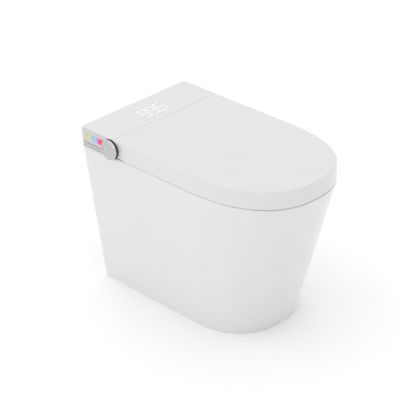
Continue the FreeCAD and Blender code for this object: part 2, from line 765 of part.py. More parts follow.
def make_block():
    shell = block_solid(0)
    sides = [e for e in shell.Edges if e.BoundBox.XLength < 1e-4 and e.BoundBox.ZMin > block_bottom + 0.1]
    shell = shell.makeFillet(block_side_round, sides)
    shaft_hole = rod_x(shaft_radius + rest_gap, -block_half_width - 1, block_half_width + 1, axis_y, axis_z)
    tongue = block_half_width - tongue_inset + 1
    passage = box(-tongue, tongue, deck_front - 10, deck_front, block_bottom - 1, block_low_top - block_wall)
    add("wash_unit_cover", cut(shell, [block_solid(block_wall), shaft_hole, passage]))


def tilt(shape):
    """Takes a shape built along +Y from the nozzles' stowed tips to its place on the slope."""
    shape.rotate(V(0, 0, 0), V(1, 0, 0), nozzle_angle)
    shape.translate(V(0, *nozzle_tip))
    return shape


def slope_point(along, above):
    y = nozzle_tip[0] + along * math.cos(slope) - above * math.sin(slope)
    return y, nozzle_tip[1] + along * math.sin(slope) + above * math.cos(slope)


def nozzle(x):
    """A wand with a domed tip, its jets and its water passage."""
    wand = rod(nozzle_radius, V(x, 0, 0), V(x, nozzle_length, 0))
    tip = [e for e in wand.Edges if e.BoundBox.YMax < 0.1 and e.Length > nozzle_radius]
    wand = wand.makeFillet(nozzle_dome, tip)
    passage = rod(nozzle_bore, V(x, jet_places[-1][1] + 5, 0), V(x, nozzle_length + 1, 0))
    jets = [rod(jet_radius, V(x + dx, dy, 0), V(x + dx, dy, nozzle_radius + 1)) for dx, dy in jet_places]
    return tilt(cut(wand, [passage] + jets))


def make_nozzles():
    """Two wands side by side in a guide whose closed bores let water push them out."""
    wide = nozzle_spacing / 2 + nozzle_radius + guide_side
    body = box(-wide, wide, guide_start, guide_end, -guide_half, guide_half)
    hood = box(-wide, wide, guide_start - hood_reach - 4, guide_start, guide_half - hood_thick, guide_half)
    body = tilt(body.fuse(hood).removeSplitter())
    y = slope_point(scroll_at, scroll_radius - duct_half)[0] + scroll_radius + wing_gap
    bar = box(-wing_half, wing_half, y, y + wing_depth, base_top, base_top + wing_thick)
    bores = []
    for sign, name in ((-1, "rear_nozzle"), (1, "front_nozzle")):
        x = sign * nozzle_spacing / 2
        bores.append(tilt(rod(nozzle_radius + nozzle_clear, V(x, 0, 0), V(x, nozzle_length + rest_gap, 0))))
        add(name, nozzle(x))
    add("nozzle_guide", cut(fuse([body, bar]), bores))


def scroll_profile(inset, x0, x1, start):
    """Blower and duct as one solid in the nozzles' own frame: a disc with a tangent duct."""
    above = scroll_radius - duct_half
    disc = rod(scroll_radius - inset, V(x0, scroll_at, above), V(x1, scroll_at, above))
    duct = box(x0, x1, start, scroll_at, -duct_half + inset, duct_half - inset)
    return disc.fuse(duct)


def add_flap_ears(shell):
    """Two ears at the dryer's mouth with the bores of its flap."""
    x0, x1 = scroll_inner, scroll_inner + scroll_width
    y, z = flap_pivot
    boss = 2 * flap_pin
    for x in (x0, x1 - scroll_wall):
        ear = box(x, x + scroll_wall, y, duct_start + 1, z - boss, z + flap_pin / 2)
        ear = ear.fuse(rod_x(boss, x, x + scroll_wall, y, z))
        shell = shell.fuse(ear)
    return shell.removeSplitter().cut(rod_x(flap_pin + running_gap, x0 - 1, x1 + 1, y, z))


def impeller(sign, y, z):
    """A drum of leaning blades between two rings, with a back plate, a hub and its shaft into the motor."""
    middle = sign * (scroll_inner + scroll_width / 2)
    x0, x1 = middle - impeller_width / 2, middle + impeller_width / 2
    hollow = rod_x(impeller_radius - blade_depth, x0 - 1, x1 + 1, 0, 0)
    drum = rod_x(impeller_radius, x0, x1, 0, 0).cut(hollow)
    pitch = 2 * math.pi / blade_count
    gap_half = (impeller_radius * pitch - blade_thick) / 2
    gaps = []
    for i in range(blade_count):
        gap = box(x0 + ring_width, x1 - ring_width, -gap_half, gap_half, impeller_radius - blade_depth - 1,
                  impeller_radius + 1)
        gap.rotate(V(0, 0, impeller_radius - blade_depth / 2), V(1, 0, 0), blade_lean)
        gap.rotate(V(0, 0, 0), V(1, 0, 0), math.degrees(i * pitch))
        gaps.append(gap)
    back = min((x0, x1), key=abs)
    plate = rod_x(impeller_radius - blade_depth + 0.5, *sorted((back, back + sign * ring_width)), 0, 0)
    end = sign * (scroll_inner + scroll_width + 6)
    stem = rod_x(fan_shaft, *sorted((middle, end)), 0, 0)
    hub = rod_x(fan_hub, *sorted((middle, back)), 0, 0)
    wheel = fuse([drum.cut(Part.makeCompound(gaps)), plate, stem, hub])
    wheel.translate(V(0, y, z))
    return wheel


def make_blower(sign, name):
    x0, x1 = mirrored(sign, scroll_inner, scroll_inner + scroll_width)
    above = scroll_radius - duct_half
    shell = scroll_profile(0, x0, x1, duct_start)
    shell = shell.cut(scroll_profile(scroll_wall, x0 + scroll_wall, x1 - scroll_wall, duct_start - 1))
    near, far = sign * scroll_inner, sign * (scroll_inner + scroll_width)
    spin = lambda x: V(x, scroll_at, above)
    inlet = rod(inlet_radius, spin(near - sign), spin(near + sign * 2 * scroll_wall))
    shaft_hole = rod(fan_shaft + 0.5, spin(far - sign * 2 * scroll_wall), spin(far + sign))
    shell = cut(shell, [inlet, shaft_hole])
    if name == "dryer":
        shell = add_flap_ears(shell)
    tilt(shell)
    y, z = slope_point(scroll_at, above)
    inner, outer = sorted((far, sign * wing_half))
    reach = scroll_radius - 1
    feet = [box(inner, outer, y + a, y + b, base_top, base_top + wing_thick)
            for a, b in ((-reach, -scroll_radius / 2), (scroll_radius / 2, reach))]
    add(name + "_housing", fuse([shell] + feet))
    add(name + "_impeller", impeller(sign, y, z))
    start, end = far + sign * rest_gap, far + sign * (rest_gap + fan_motor_length)
    motor = rod(fan_motor_radius, V(start, y, z), V(end, y, z))
    add(name + "_motor", motor.cut(rod(fan_shaft + running_gap, V(far, y, z), V(far + sign * 7, y, z))))


def make_air():
    make_blower(1, "dryer")
    make_blower(-1, "deodoriser")
    inner = scroll_inner + scroll_wall + duct_fit
    outer = scroll_inner + scroll_width - scroll_wall - duct_fit
    high = duct_half - scroll_wall - duct_fit
    starts = [heater_at + i * fin_pitch for i in range(fin_count)]
    fins = [box(inner, outer, y, y + fin_thick, -high, high) for y in starts]
    rails = [box(x, x + rail_wide, heater_at, starts[-1] + fin_thick, -high, high)
             for x in (inner, outer - rail_wide)]
    add("dryer_heater", tilt(fuse(fins + rails)))
    block = box(-outer, -inner, filter_at, filter_at + filter_depth, -high, high)
    middle = (inner + outer) / 2
    cells = [rod(cell_radius, V(i * cell_pitch - middle, filter_at - 1, j * cell_pitch),
                 V(i * cell_pitch - middle, filter_at + filter_depth + 1, j * cell_pitch))
             for i in (-2, -1, 0, 1, 2) for j in (-1, 0, 1)]
    add("carbon_filter", tilt(block.cut(Part.makeCompound(cells))))
    y, z = flap_pivot
    face = duct_start - 0.6
    flap = box(inner, outer, face - flap_thick, face, -duct_half + 0.5, z)
    flap = flap.fuse(rod_x(flap_thick, inner, outer, y, z))
    flap = flap.fuse(rod_x(flap_pin, scroll_inner + 0.2, scroll_inner + scroll_width - 0.2, y, z))
    add("dryer_flap", tilt(flap.removeSplitter()))


def make_drives():
    """Soft-close drives with two feet each, one for the lid and one for the seat."""
    for sign, name in ((1, "lid_hinge_drive"), (-1, "seat_hinge_drive")):
        body = rod_x(drive_radius, *mirrored(sign, drive_inner, drive_outer), axis_y, axis_z)
        for x in (drive_inner + 3, drive_outer - 3 - drive_foot):
            x0, x1 = mirrored(sign, x, x + drive_foot)
            body = body.fuse(box(x0, x1, axis_y - drive_radius + 0.8, axis_y + 3, base_top, axis_z))
        x0, x1 = mirrored(sign, drive_outer - shaft_grip - 0.5, drive_outer + 1)
        bore = rod_x(shaft_radius + running_gap, x0, x1, axis_y, axis_z)
        add(name, body.removeSplitter().cut(bore))


# ---------------------------------------------------------------- flush system
def make_tank():
    tank_half, tank_front, tank_back = tank_opening
    a, y0, y1 = tank_half - tank_gap, tank_front + tank_gap, tank_back - tank_gap
    edge, foot, lip_top = tank_flange, tank_bottom + tank_wall, ceramic_top + flange_thick
    shell = rounded_box(-a, a, y0, y1, tank_bottom, ceramic_top, tank_corner)
    lip = rounded_box(-a - edge, a + edge, y0 - edge, y1 + edge, ceramic_top, lip_top, flange_corner)
    b = a - tank_wall
    hollow = rounded_box(-b, b, y0 + tank_wall, y1 - tank_wall, foot, lip_top + 1, tank_corner - 2)
    outlet = rod_z(pipe_bore, pipe_x, pipe_route[0][0], tank_bottom - 1, foot + 1)
    add("flush_tank", cut(shell.fuse(lip).removeSplitter(), [hollow, outlet]))
    cover = rounded_box(-a - edge, a + edge, y0 - edge, y1 + edge, lip_top, tank_lid_top, flange_corner)
    middle = (y0 + y1) / 2
    add("tank_cover", cover.cut(rod_z(valve_stem + 0.4, valve_x, middle, lip_top - 1, tank_lid_top + 1)))
    stem = rod_z(valve_stem, valve_x, middle, valve_reach, tank_lid_top + rest_gap)
    body = rod_z(valve_radius, valve_x, middle, tank_lid_top + rest_gap, tank_lid_top + valve_height)
    cap_top = tank_lid_top + valve_height + valve_cap[1] - 2.5
    cap = rod_z(valve_cap[0], valve_x, middle, tank_lid_top + valve_height, cap_top)
    add("fill_valve", fuse([stem, body, cap]))


def make_flush():
    """Pump on the tank's floor and the pipe from the tank to the bowl's spud."""
    y, foot = pipe_route[0][0], tank_bottom + tank_wall
    volute_top = foot + pump_volute
    volute = rod_z(pump_radius, pipe_x, y, foot, volute_top)
    motor = rod_z(pump_motor_radius, pipe_x, y, volute_top, foot + pump_height)
    outlet = rod_z(pipe_bore, pipe_x, y, foot - 1, foot + pump_volute * 0.75)
    low, high, wide = pump_slot
    reach = pump_radius + 1
    slots = [box(pipe_x - reach, pipe_x + reach, y - wide / 2, y + wide / 2, foot + low, foot + low + high),
             box(pipe_x - wide / 2, pipe_x + wide / 2, y - reach, y + reach, foot + low, foot + low + high)]
    add("flush_pump", cut(fuse([volute, motor]), [outlet] + slots))
    path = rounded_path(pipe_route, pipe_bends)
    path.translate(V(pipe_x, 0, 0))
    add("flush_pipe", swept_rod(path, pipe_radius).cut(swept_rod(path, pipe_bore)))


# ---------------------------------------------------------------- water, heat and power
def make_connections():
    x, y = inlet_place
    top = base_top + collar_thick
    stub = rod_z(stub_radius, x, y, stub_end, base_top).fuse(rod_z(collar_radius, x, y, base_top, top))
    add("water_inlet", stub.removeSplitter().cut(rod_z(stub_bore, x, y, stub_end - 1, top + 1)))
    wide, deep, high, corner = inlet_body
    coil_radius, coil_height = coil_size
    valve = rounded_box(x - wide, x + wide, y - deep, y + deep, top, top + high, corner)
    coil = rod_z(coil_radius, x, y, top + high, top + high + coil_height)
    port = rod_z(stub_bore, x, y, top - 1, top + coil_port)
    add("inlet_valve", valve.fuse(coil).removeSplitter().cut(port))
    x, y = gland_place
    gland = rod_z(gland_radius, x, y, gland_end, base_top).fuse(rod_z(collar_radius, x, y, base_top, top))
    add("power_gland", gland.removeSplitter().cut(rod_z(gland_bore, x, y, gland_end - 1, top + 1)))


def make_heater_and_pump():
    """The instant heater and the wash pump, on the tank's cover."""
    low = tank_lid_top
    axis = low + wash_pump_radius[0] + rest_gap
    boiler = rounded_box(*boiler_x, *boiler_y, low, low + boiler_height, boiler_corner)
    middle = low + boiler_height / 2
    ports = [rod(port_radius, V(x, boiler_y[1], middle), V(x, boiler_y[1] + port_length, middle))
             for x in (boiler_x[0] + boiler_corner, boiler_x[1] - boiler_corner - port_radius)]
    add("instant_heater", fuse([boiler] + ports))
    start, head_end, end = wash_pump_x
    head = rod_x(wash_pump_radius[0], start, head_end, wash_pump_y, axis)
    motor = rod_x(wash_pump_radius[1], head_end, end, wash_pump_y, axis)
    inset, wide, high = wash_pump_foot
    foot = box(start + inset, head_end - inset, wash_pump_y - wide, wash_pump_y + wide, low, low + high)
    add("wash_pump", fuse([head, motor, foot]))


def make_electrics():
    low = base_top + board_raise
    top = low + board_thick
    board = box(*board_x, *board_y, low, top)
    xs = (board_x[0] + post_inset, board_x[1] - post_inset)
    ys = (board_y[0] + post_inset, board_y[1] - post_inset)
    posts = [rod_z(post_radius, x, y, base_top, low) for x in xs for y in ys]
    chip_long, chip_wide, chip_high = chip_size
    middle_x, middle_y = sum(board_x) / 2, sum(board_y) / 2
    chip_at = V(middle_x - chip_long / 2, middle_y - chip_wide / 2, top)
    chip = Part.makeBox(chip_long, chip_wide, chip_high, chip_at)
    plug_wide, plug_long, plug_high = plug_size
    plug_x = board_x[0] + post_inset + post_radius
    plug = Part.makeBox(plug_wide, plug_long, plug_high, V(plug_x, middle_y - plug_long / 2, top))
    can_radius, can_height, can_pitch = capacitor
    can_x = board_x[1] - can_radius - post_inset
    cans = [rod_z(can_radius, can_x, middle_y + i * can_pitch, top, top + can_height) for i in (-1, 0, 1)]
    add("control_board", fuse([board, chip, plug] + posts + cans))
    add("power_module", rounded_box(*supply_x, *supply_y, base_top, base_top + supply_height, supply_corner))
    module = rounded_box(*readout_x, *readout_y, inner_top - readout_thick, inner_top, readout_corner)
    add("readout_module", module)


def make_fixings():
    bolts, nuts = [], []
    head_radius, head_height = bolt_head
    socket_radius, socket_depth = bolt_socket
    nut_radius, nut_height = nut_size
    for x, y in bolt_places:
        shank = rod_z(bolt_radius, x, y, deck_under - bolt_tail, base_top)
        head = rod_z(head_radius, x, y, base_top, base_top + head_height)
        socket = hex_z(socket_radius, x, y, base_top + head_height - socket_depth, base_top + head_height + 1)
        bolts.append(shank.fuse(head).removeSplitter().cut(socket))
        nut = hex_z(nut_radius, x, y, deck_under - nut_height, deck_under)
        nuts.append(nut.cut(rod_z(bolt_radius, x, y, deck_under - nut_height - 1, deck_under + 1)))
    add("housing_bolts", Part.makeCompound(bolts))
    add("housing_nuts", Part.makeCompound(nuts))
    y0, y1 = bracket_y - bracket_width / 2, bracket_y + bracket_width / 2
    brackets = []
    for sign in (1, -1):
        leg = box(*mirrored(sign, bracket_x, bracket_x - bracket_thick), y0, y1, 0, bracket_height)
        foot = box(*mirrored(sign, bracket_x, bracket_x - bracket_foot), y0, y1, 0, bracket_thick)
        both = leg.fuse(foot).removeSplitter()
        bend = [e for e in level_edges(both, 0) if abs(abs(e.CenterOfMass.x) - bracket_x) < 1e-4]
        both = both.makeFillet(bracket_bend, bend)
        brackets.append(both.cut(rod_z(anchor_hole, sign * anchor_x, bracket_y, -1, bracket_thick + 1)))
    add("floor_brackets", Part.makeCompound(brackets))


# ---------------------------------------------------------------- control panel and knob
def key_span(i):
    y0, y1 = key_row
    pitch = (y1 - y0 + key_gap) / key_count
    return y0 + i * pitch, y0 + (i + 1) * pitch - key_gap


def rim_box(x0, x1, ys, zs, margin):
    """A box over a (y, z) rectangle, wider than it by margin all round."""
    return box(x0, x1, ys[0] - margin, ys[1] + margin, zs[0] - margin, zs[1] + margin)


def make_panel():
    panel_rear = key_row[1] + panel_end
    plate = box(panel_face, panel_back, knob_y, panel_rear, panel_low, panel_high)
    ends = [e for e in plate.Edges if e.BoundBox.YMin > panel_rear - 1 and along_axis(e, "x")]
    plate = plate.makeFillet(panel_corner, ends)
    plate = plate.fuse(rod_x(bezel_radius, panel_face, panel_back, knob_y, knob_z)).removeSplitter()
    holes = [rim_box(panel_face - 1, panel_back + 1, window_y, window_z, 0)]
    flange_end = panel_back + key_flange
    for i in range(key_count):
        span = key_span(i)
        holes.append(rim_box(panel_face - 1, panel_back + 1, span, key_z, key_clear))
        key = rim_box(panel_face - key_proud, flange_end, span, key_z, 0)
        flange = rim_box(panel_back + 0.1, flange_end, span, key_z, key_flange)
        add("panel_key_" + str(i + 1), key.fuse(flange).removeSplitter())
    add("side_panel", cut(plate, holes))
    add("display_lens", rim_box(panel_face, panel_back, window_y, window_z, -lens_fit))
    behind = panel_back + rest_gap
    spans = (window_y[0] - 1, key_row[1] + 1), (key_z[0], window_z[1])
    module = rim_box(behind, behind + module_depth, *spans, module_rim)
    edge = key_flange + pocket_room
    pocket = box(behind - 1, flange_end + key_travel + pocket_room, key_row[0] - edge, key_row[1] + edge,
                 key_z[0] - module_rim - 1, key_z[1] + edge)
    add("control_module", module.cut(pocket))


def knob_disc(radius, x0, x1):
    return rod_x(radius, x0, x1, knob_y, knob_z)


def knob_ring(inner, outer, x0, x1):
    return knob_disc(outer, x0, x1).cut(knob_disc(inner, x0 - 1, x1 + 1))


def make_knob():
    """A cap that turns on a sleeve, and the sleeve that slides in on a pin when the knob is pressed."""
    bezel_x = panel_face - bezel_thick
    back = bezel_x - knob_travel - 0.4
    roof = face_x + knob_wall
    add("knob_bezel", knob_ring(bezel_inner, bezel_radius, bezel_x, panel_face))
    pin = knob_disc(knob_pin, roof + knob_travel + 0.7, bezel_x)
    add("knob_base", fuse([knob_disc(bezel_inner - sleeve_gap, bezel_x, panel_face), pin]))
    flange_x = back - carrier_thick
    sleeve = knob_ring(knob_pin + running_gap, hub_radius, roof + 0.4, back)
    add("knob_carrier", fuse([sleeve, knob_ring(hub_radius - 1, carrier_radius, flange_x, back)]))
    cap = knob_disc(knob_radius, face_x, back)
    rim = [e for e in cap.Edges if abs(e.BoundBox.XMin - face_x) < 1e-4 and e.BoundBox.XLength < 1e-4]
    cap = cap.makeFillet(knob_edge_round, rim).cut(knob_disc(knob_radius - knob_wall, roof, back + 1))
    hub = knob_ring(hub_radius + running_gap, hub_radius + hub_wall, roof - 0.5, flange_x - 0.2)
    mark_y = knob_y + knob_radius - mark_inset
    mark = rod_x(mark_radius, face_x - 1, face_x + mark_depth, mark_y, knob_z)
    add("knob_cap", fuse([cap, hub]).cut(mark))


make_skirt()
make_bowl()
make_lid()
make_seat()
make_cover()
make_base()
make_block()
make_nozzles()
make_air()
make_drives()
make_tank()
make_flush()
make_connections()
make_heater_and_pump()
make_electrics()
make_fixings()
make_panel()
make_knob()

os.makedirs(OUT, exist_ok=True)
for name, shape in shapes.items():
    print(name, round(shape.Volume / 1000, 1), "cm3", shape.isValid(), len(shape.Solids))
    shape.exportStep(os.path.join(OUT, name + ".step"))
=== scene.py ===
import json
import math

import bmesh
import bpy
import numpy as np
from bpy.props import FloatProperty, FloatVectorProperty, PointerProperty, StringProperty
from mathutils import Matrix, Vector


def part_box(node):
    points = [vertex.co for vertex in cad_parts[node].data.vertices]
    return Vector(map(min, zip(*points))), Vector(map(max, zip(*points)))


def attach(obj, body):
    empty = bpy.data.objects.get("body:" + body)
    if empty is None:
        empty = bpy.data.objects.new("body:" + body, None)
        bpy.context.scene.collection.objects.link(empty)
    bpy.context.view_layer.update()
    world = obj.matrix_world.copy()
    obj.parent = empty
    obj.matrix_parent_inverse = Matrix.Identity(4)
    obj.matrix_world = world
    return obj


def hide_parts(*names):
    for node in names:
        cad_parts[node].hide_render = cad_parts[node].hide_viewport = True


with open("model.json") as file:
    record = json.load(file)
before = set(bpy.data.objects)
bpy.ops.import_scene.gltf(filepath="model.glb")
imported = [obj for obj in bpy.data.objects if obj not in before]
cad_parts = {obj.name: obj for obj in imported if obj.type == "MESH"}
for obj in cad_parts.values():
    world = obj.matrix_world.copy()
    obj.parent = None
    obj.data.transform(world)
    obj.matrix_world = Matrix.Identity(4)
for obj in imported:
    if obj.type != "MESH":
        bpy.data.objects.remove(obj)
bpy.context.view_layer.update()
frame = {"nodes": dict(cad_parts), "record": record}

bl_info = {
    "name": "Smart toilet",
    "version": (1, 0, 0),
    "blender": (4, 5, 0),
    "location": "3D View > Sidebar > Smart toilet",
    "description": "Pieces, surfaces and stage for a smart toilet built round its construction model",
    "category": "Object",
}

NODES = frame["nodes"]
BEHAVIOUR = frame["record"]["behaviour"]
BODY_OF = {node: body for body, nodes in BEHAVIOUR["bodies"].items() for node in nodes}


# ---------------------------------------------------------------- kinds of setting
def colour(name, default, text):
    """A colour, as red, green and blue from 0 to 1."""
    return FloatVectorProperty(name=name, description=text, subtype="COLOR", size=3, min=0, max=1,
                               default=default)


def length(name, default, text):
    """A length in metres."""
    return FloatProperty(name=name, description=text, subtype="DISTANCE", unit="LENGTH", default=default)


def angle(name, degrees, text):
    """An angle, its default given in degrees."""
    return FloatProperty(name=name, description=text, subtype="ANGLE", default=math.radians(degrees))


def power(name, default, text):
    """A lamp's power in watts."""
    return FloatProperty(name=name, description=text, subtype="POWER", default=default)


def share(name, default, text):
    """A part of a whole, from 0 to 1."""
    return FloatProperty(name=name, description=text, subtype="FACTOR", min=0, max=1, default=default)


# ---------------------------------------------------------------- what a user may change
class ToiletView(bpy.types.PropertyGroup):
    """Camera, floor and light"""

    azimuth: angle("Azimuth", -41.903, "Camera's turn about the upright axis")
    elevation: angle("Elevation", 28.909, "Camera's height above the horizon")
    roll: angle("Roll", -3.309, "Camera's turn about its own line of sight")
    distance: length("Distance", 4.422, "Camera to the point it looks at")
    target: FloatVectorProperty(name="Target", description="Point the camera looks at",
                                subtype="TRANSLATION", default=(-0.00315, 0.0458, 0.2703))
    lens: FloatProperty(name="Lens", description="Focal length on a 36 mm sensor", default=146.59)
    floor: length("Floor", 28.0, "Width of the square floor")
    sky: FloatProperty(name="Sky", description="Mean strength of the studio's soft light", default=1.08)
    dim: share("Dim side", 0.2, "Share by which the sky is darker on one side and brighter opposite")
    dim_azimuth: angle("Dim azimuth", 0.0, "Turn of the sky's dim side from the front")
    key: power("Key lamp", 7.0, "Power of the large soft lamp overhead")
    fill: power("Fill lamp", 1.5, "Power of the soft lamp on the right")
    low: power("Low lamp", 1.2, "Power of the soft lamp low on the left")


class ToiletColours(bpy.types.PropertyGroup):
    """Colours of the surfaces"""

    glaze: colour("Glaze", (0.725, 0.725, 0.723), "Vitreous ceramic")
    lid: colour("Lid", (0.695, 0.695, 0.695), "Gloss white plastic of lid, seat and housing")
    shell: colour("Inner plastic", (0.74, 0.74, 0.73), "Matte white plastic inside the housing")
    silver: colour("Silver", (0.60, 0.61, 0.62), "Satin metal of panel and knob")
    # The ring's own colour is near black; its faint warm tint is a painted reflection.
    dark: colour("Dark ring", (0.022, 0.020, 0.016), "Ring under the knob")
    key: colour("Keys", (0.42, 0.43, 0.45), "Keys of the side panel")
    light: colour("Readout", (0.82, 0.82, 0.83), "Light of the digits")
    unlit: colour("Unlit display", (0.52, 0.50, 0.50), "Edges of the display window, where no hue shows")
    motor: colour("Motors", (0.035, 0.036, 0.038), "Dark plastic of motors, drives, pump and knob mark")
    grey: colour("Grey plastic", (0.32, 0.33, 0.34), "Impellers, flush pump and fittings")
    bumper: colour("Bumpers", (0.42, 0.42, 0.43), "Soft rubber under lid and seat")
    seal: colour("Seal", (0.03, 0.03, 0.03), "Dark rubber in the outlet")
    steel: colour("Steel", (0.58, 0.58, 0.57), "Shafts, nozzles and water heater")
    zinc: colour("Zinc", (0.55, 0.56, 0.58), "Plating of bolts, nuts, brackets and heater fins")
    brass: colour("Brass", (0.62, 0.46, 0.2), "Water inlet")
    copper: colour("Copper", (0.68, 0.33, 0.2), "Foil that heats the seat")
    carbon: colour("Carbon", (0.012, 0.012, 0.013), "Filter of the deodoriser")
    board: colour("Circuit board", (0.012, 0.13, 0.055), "Lacquer of the control board")
    floor: colour("Floor", (0.97, 0.97, 0.97), "Plain pale floor")


class ToiletSizes(bpy.types.PropertyGroup):
    """Sizes of the pieces that are made here"""

    number: StringProperty(name="Number", description="Digits of the readout, with a point before the last",
                           default="995")
    digit_width: length("Digit width", 0.024, "Width of one digit of the readout")
    digit_height: length("Digit height", 0.050, "Height of one digit of the readout")
    digit_stroke: length("Digit stroke", 0.0038, "Width of one lit bar")
    digit_gap: length("Digit gap", 0.0045, "Space between two digits")
    digit_shift: length("Digit shift", -0.003, "Digits aside from the middle of their module")
    digit_sink: length("Digit sink", 0.0004, "Underside of the digits below the housing's top")
    digit_rise: length("Digit rise", 0.00006, "Face of the digits above the housing's top")
    bar_gap: length("Bar gap", 0.0004, "Tip of a bar short of the corner that it points to")
    point_size: share("Point size", 0.55, "Radius of the point as a share of the stroke")

    mark_inset: length("Mark inset", 0.0065, "Centre of the knob's mark from its rim")
    mark_radius: length("Mark radius", 0.00148, "Radius of the knob's mark")
    mark_depth: length("Mark depth", 0.00045, "Depth of the mark's middle under the knob's face")
    mark_bowl: share("Mark bowl", 0.6, "Share of that depth by which the mark's rim is shallower")

    lid_round: length("Lid rounding", 0.004, "Rounding of the lid's top edge in the solids")
    edge_round: length("Edge rounding", 0.0007, "Rounding of the lid's crisp rear edge")
    edge_reach: length("Edge reach", 0.0046, "Length of the crisp edge from the lid's rear")
    edge_root: length("Edge root", 0.0024, "Length of its deep part")
    edge_depth: length("Edge depth", 0.00315, "Its depth at the lid's rear")
    edge_tip: length("Edge tip", 0.001, "Its depth at its front end")
    edge_drop: length("Edge drop", 0.0003, "Its ends below the lid's rounding")
    edge_skin: length("Edge skin", 0.00001, "Its top over the lid's own")

    cover_round: length("Housing rounding", 0.0024, "Rounding of the housing's top edge in the solids")
    lip_inner: length("Lip inner radius", 0.0265, "Front of the housing's lip from the hinge axis")
    lip_outer: length("Lip outer radius", 0.0271, "Back of the housing's lip from the hinge axis")
    lip_reach: length("Lip reach", 0.0004, "Most that the lip stands in front of the housing")
    lip_side: length("Lip sides", 0.0001, "Lip's ends inside the housing's sides")
    lip_drop: length("Lip drop", 0.0005, "Lip's ends below the housing's rounding")
    lip_skin: length("Lip skin", 0.00002, "Lip's top below the housing's")
    lip_bevel: length("Lip bevel", 0.0001, "Bevel of the lip's upper front corner")

    rim_clearance: length("Rim clearance", 0.0007, "Lid's lower lip over the ceramic")
    rim_inset: length("Rim inset", 0.0008, "Lower lip inside the lid's outer face, at the sides")
    rim_nose_inset: length("Nose rim inset", 0.0027, "The same at the tip of the nose")
    rim_inner: length("Rim inner inset", 0.0036, "Inner face of the lower lip inside the lid's outer face")
    rim_root: length("Rim root", 0.0004, "Top of the lower lip up inside the lid's wall")
    rim_bevel: length("Rim bevel", 0.00035, "Bevel of its outer lower corner")
    rim_rear: length("Rim rear", 0.150, "Rear end of the lower lip")
    rim_fade: length("Rim fade", 0.024, "Length over which it comes down from its rear end")
    rim_end: share("Rim end", 0.06, "Share of its height that is left at its rear end")
    nose_depth: length("Nose depth", 0.2835, "Length of the rounded nose")
    nose_power: FloatProperty(name="Nose power", description="Superellipse exponent of the nose",
                              default=2.4)

    foot_height: length("Foot height", 0.0045, "Panel's foot under its lower edge")
    foot_root: length("Foot root", 0.0015, "Top of the foot up inside the panel")
    foot_inset: length("Foot inset", 0.0002, "Foot's outer face inside the panel's")
    foot_bevel: length("Foot bevel", 0.0003, "Bevel of the foot's outer lower corner")
    foot_round: length("Foot rounding", 0.0025, "Rounding of the foot's rear end")
    foot_front: length("Foot front", 0.018, "Front end of the foot behind the knob's front")

    merge: length("Merge distance", 0.000002, "Corners nearer than this are one")
    sharp: angle("Sharp angle", 28, "Edges that bend more stay crisp")


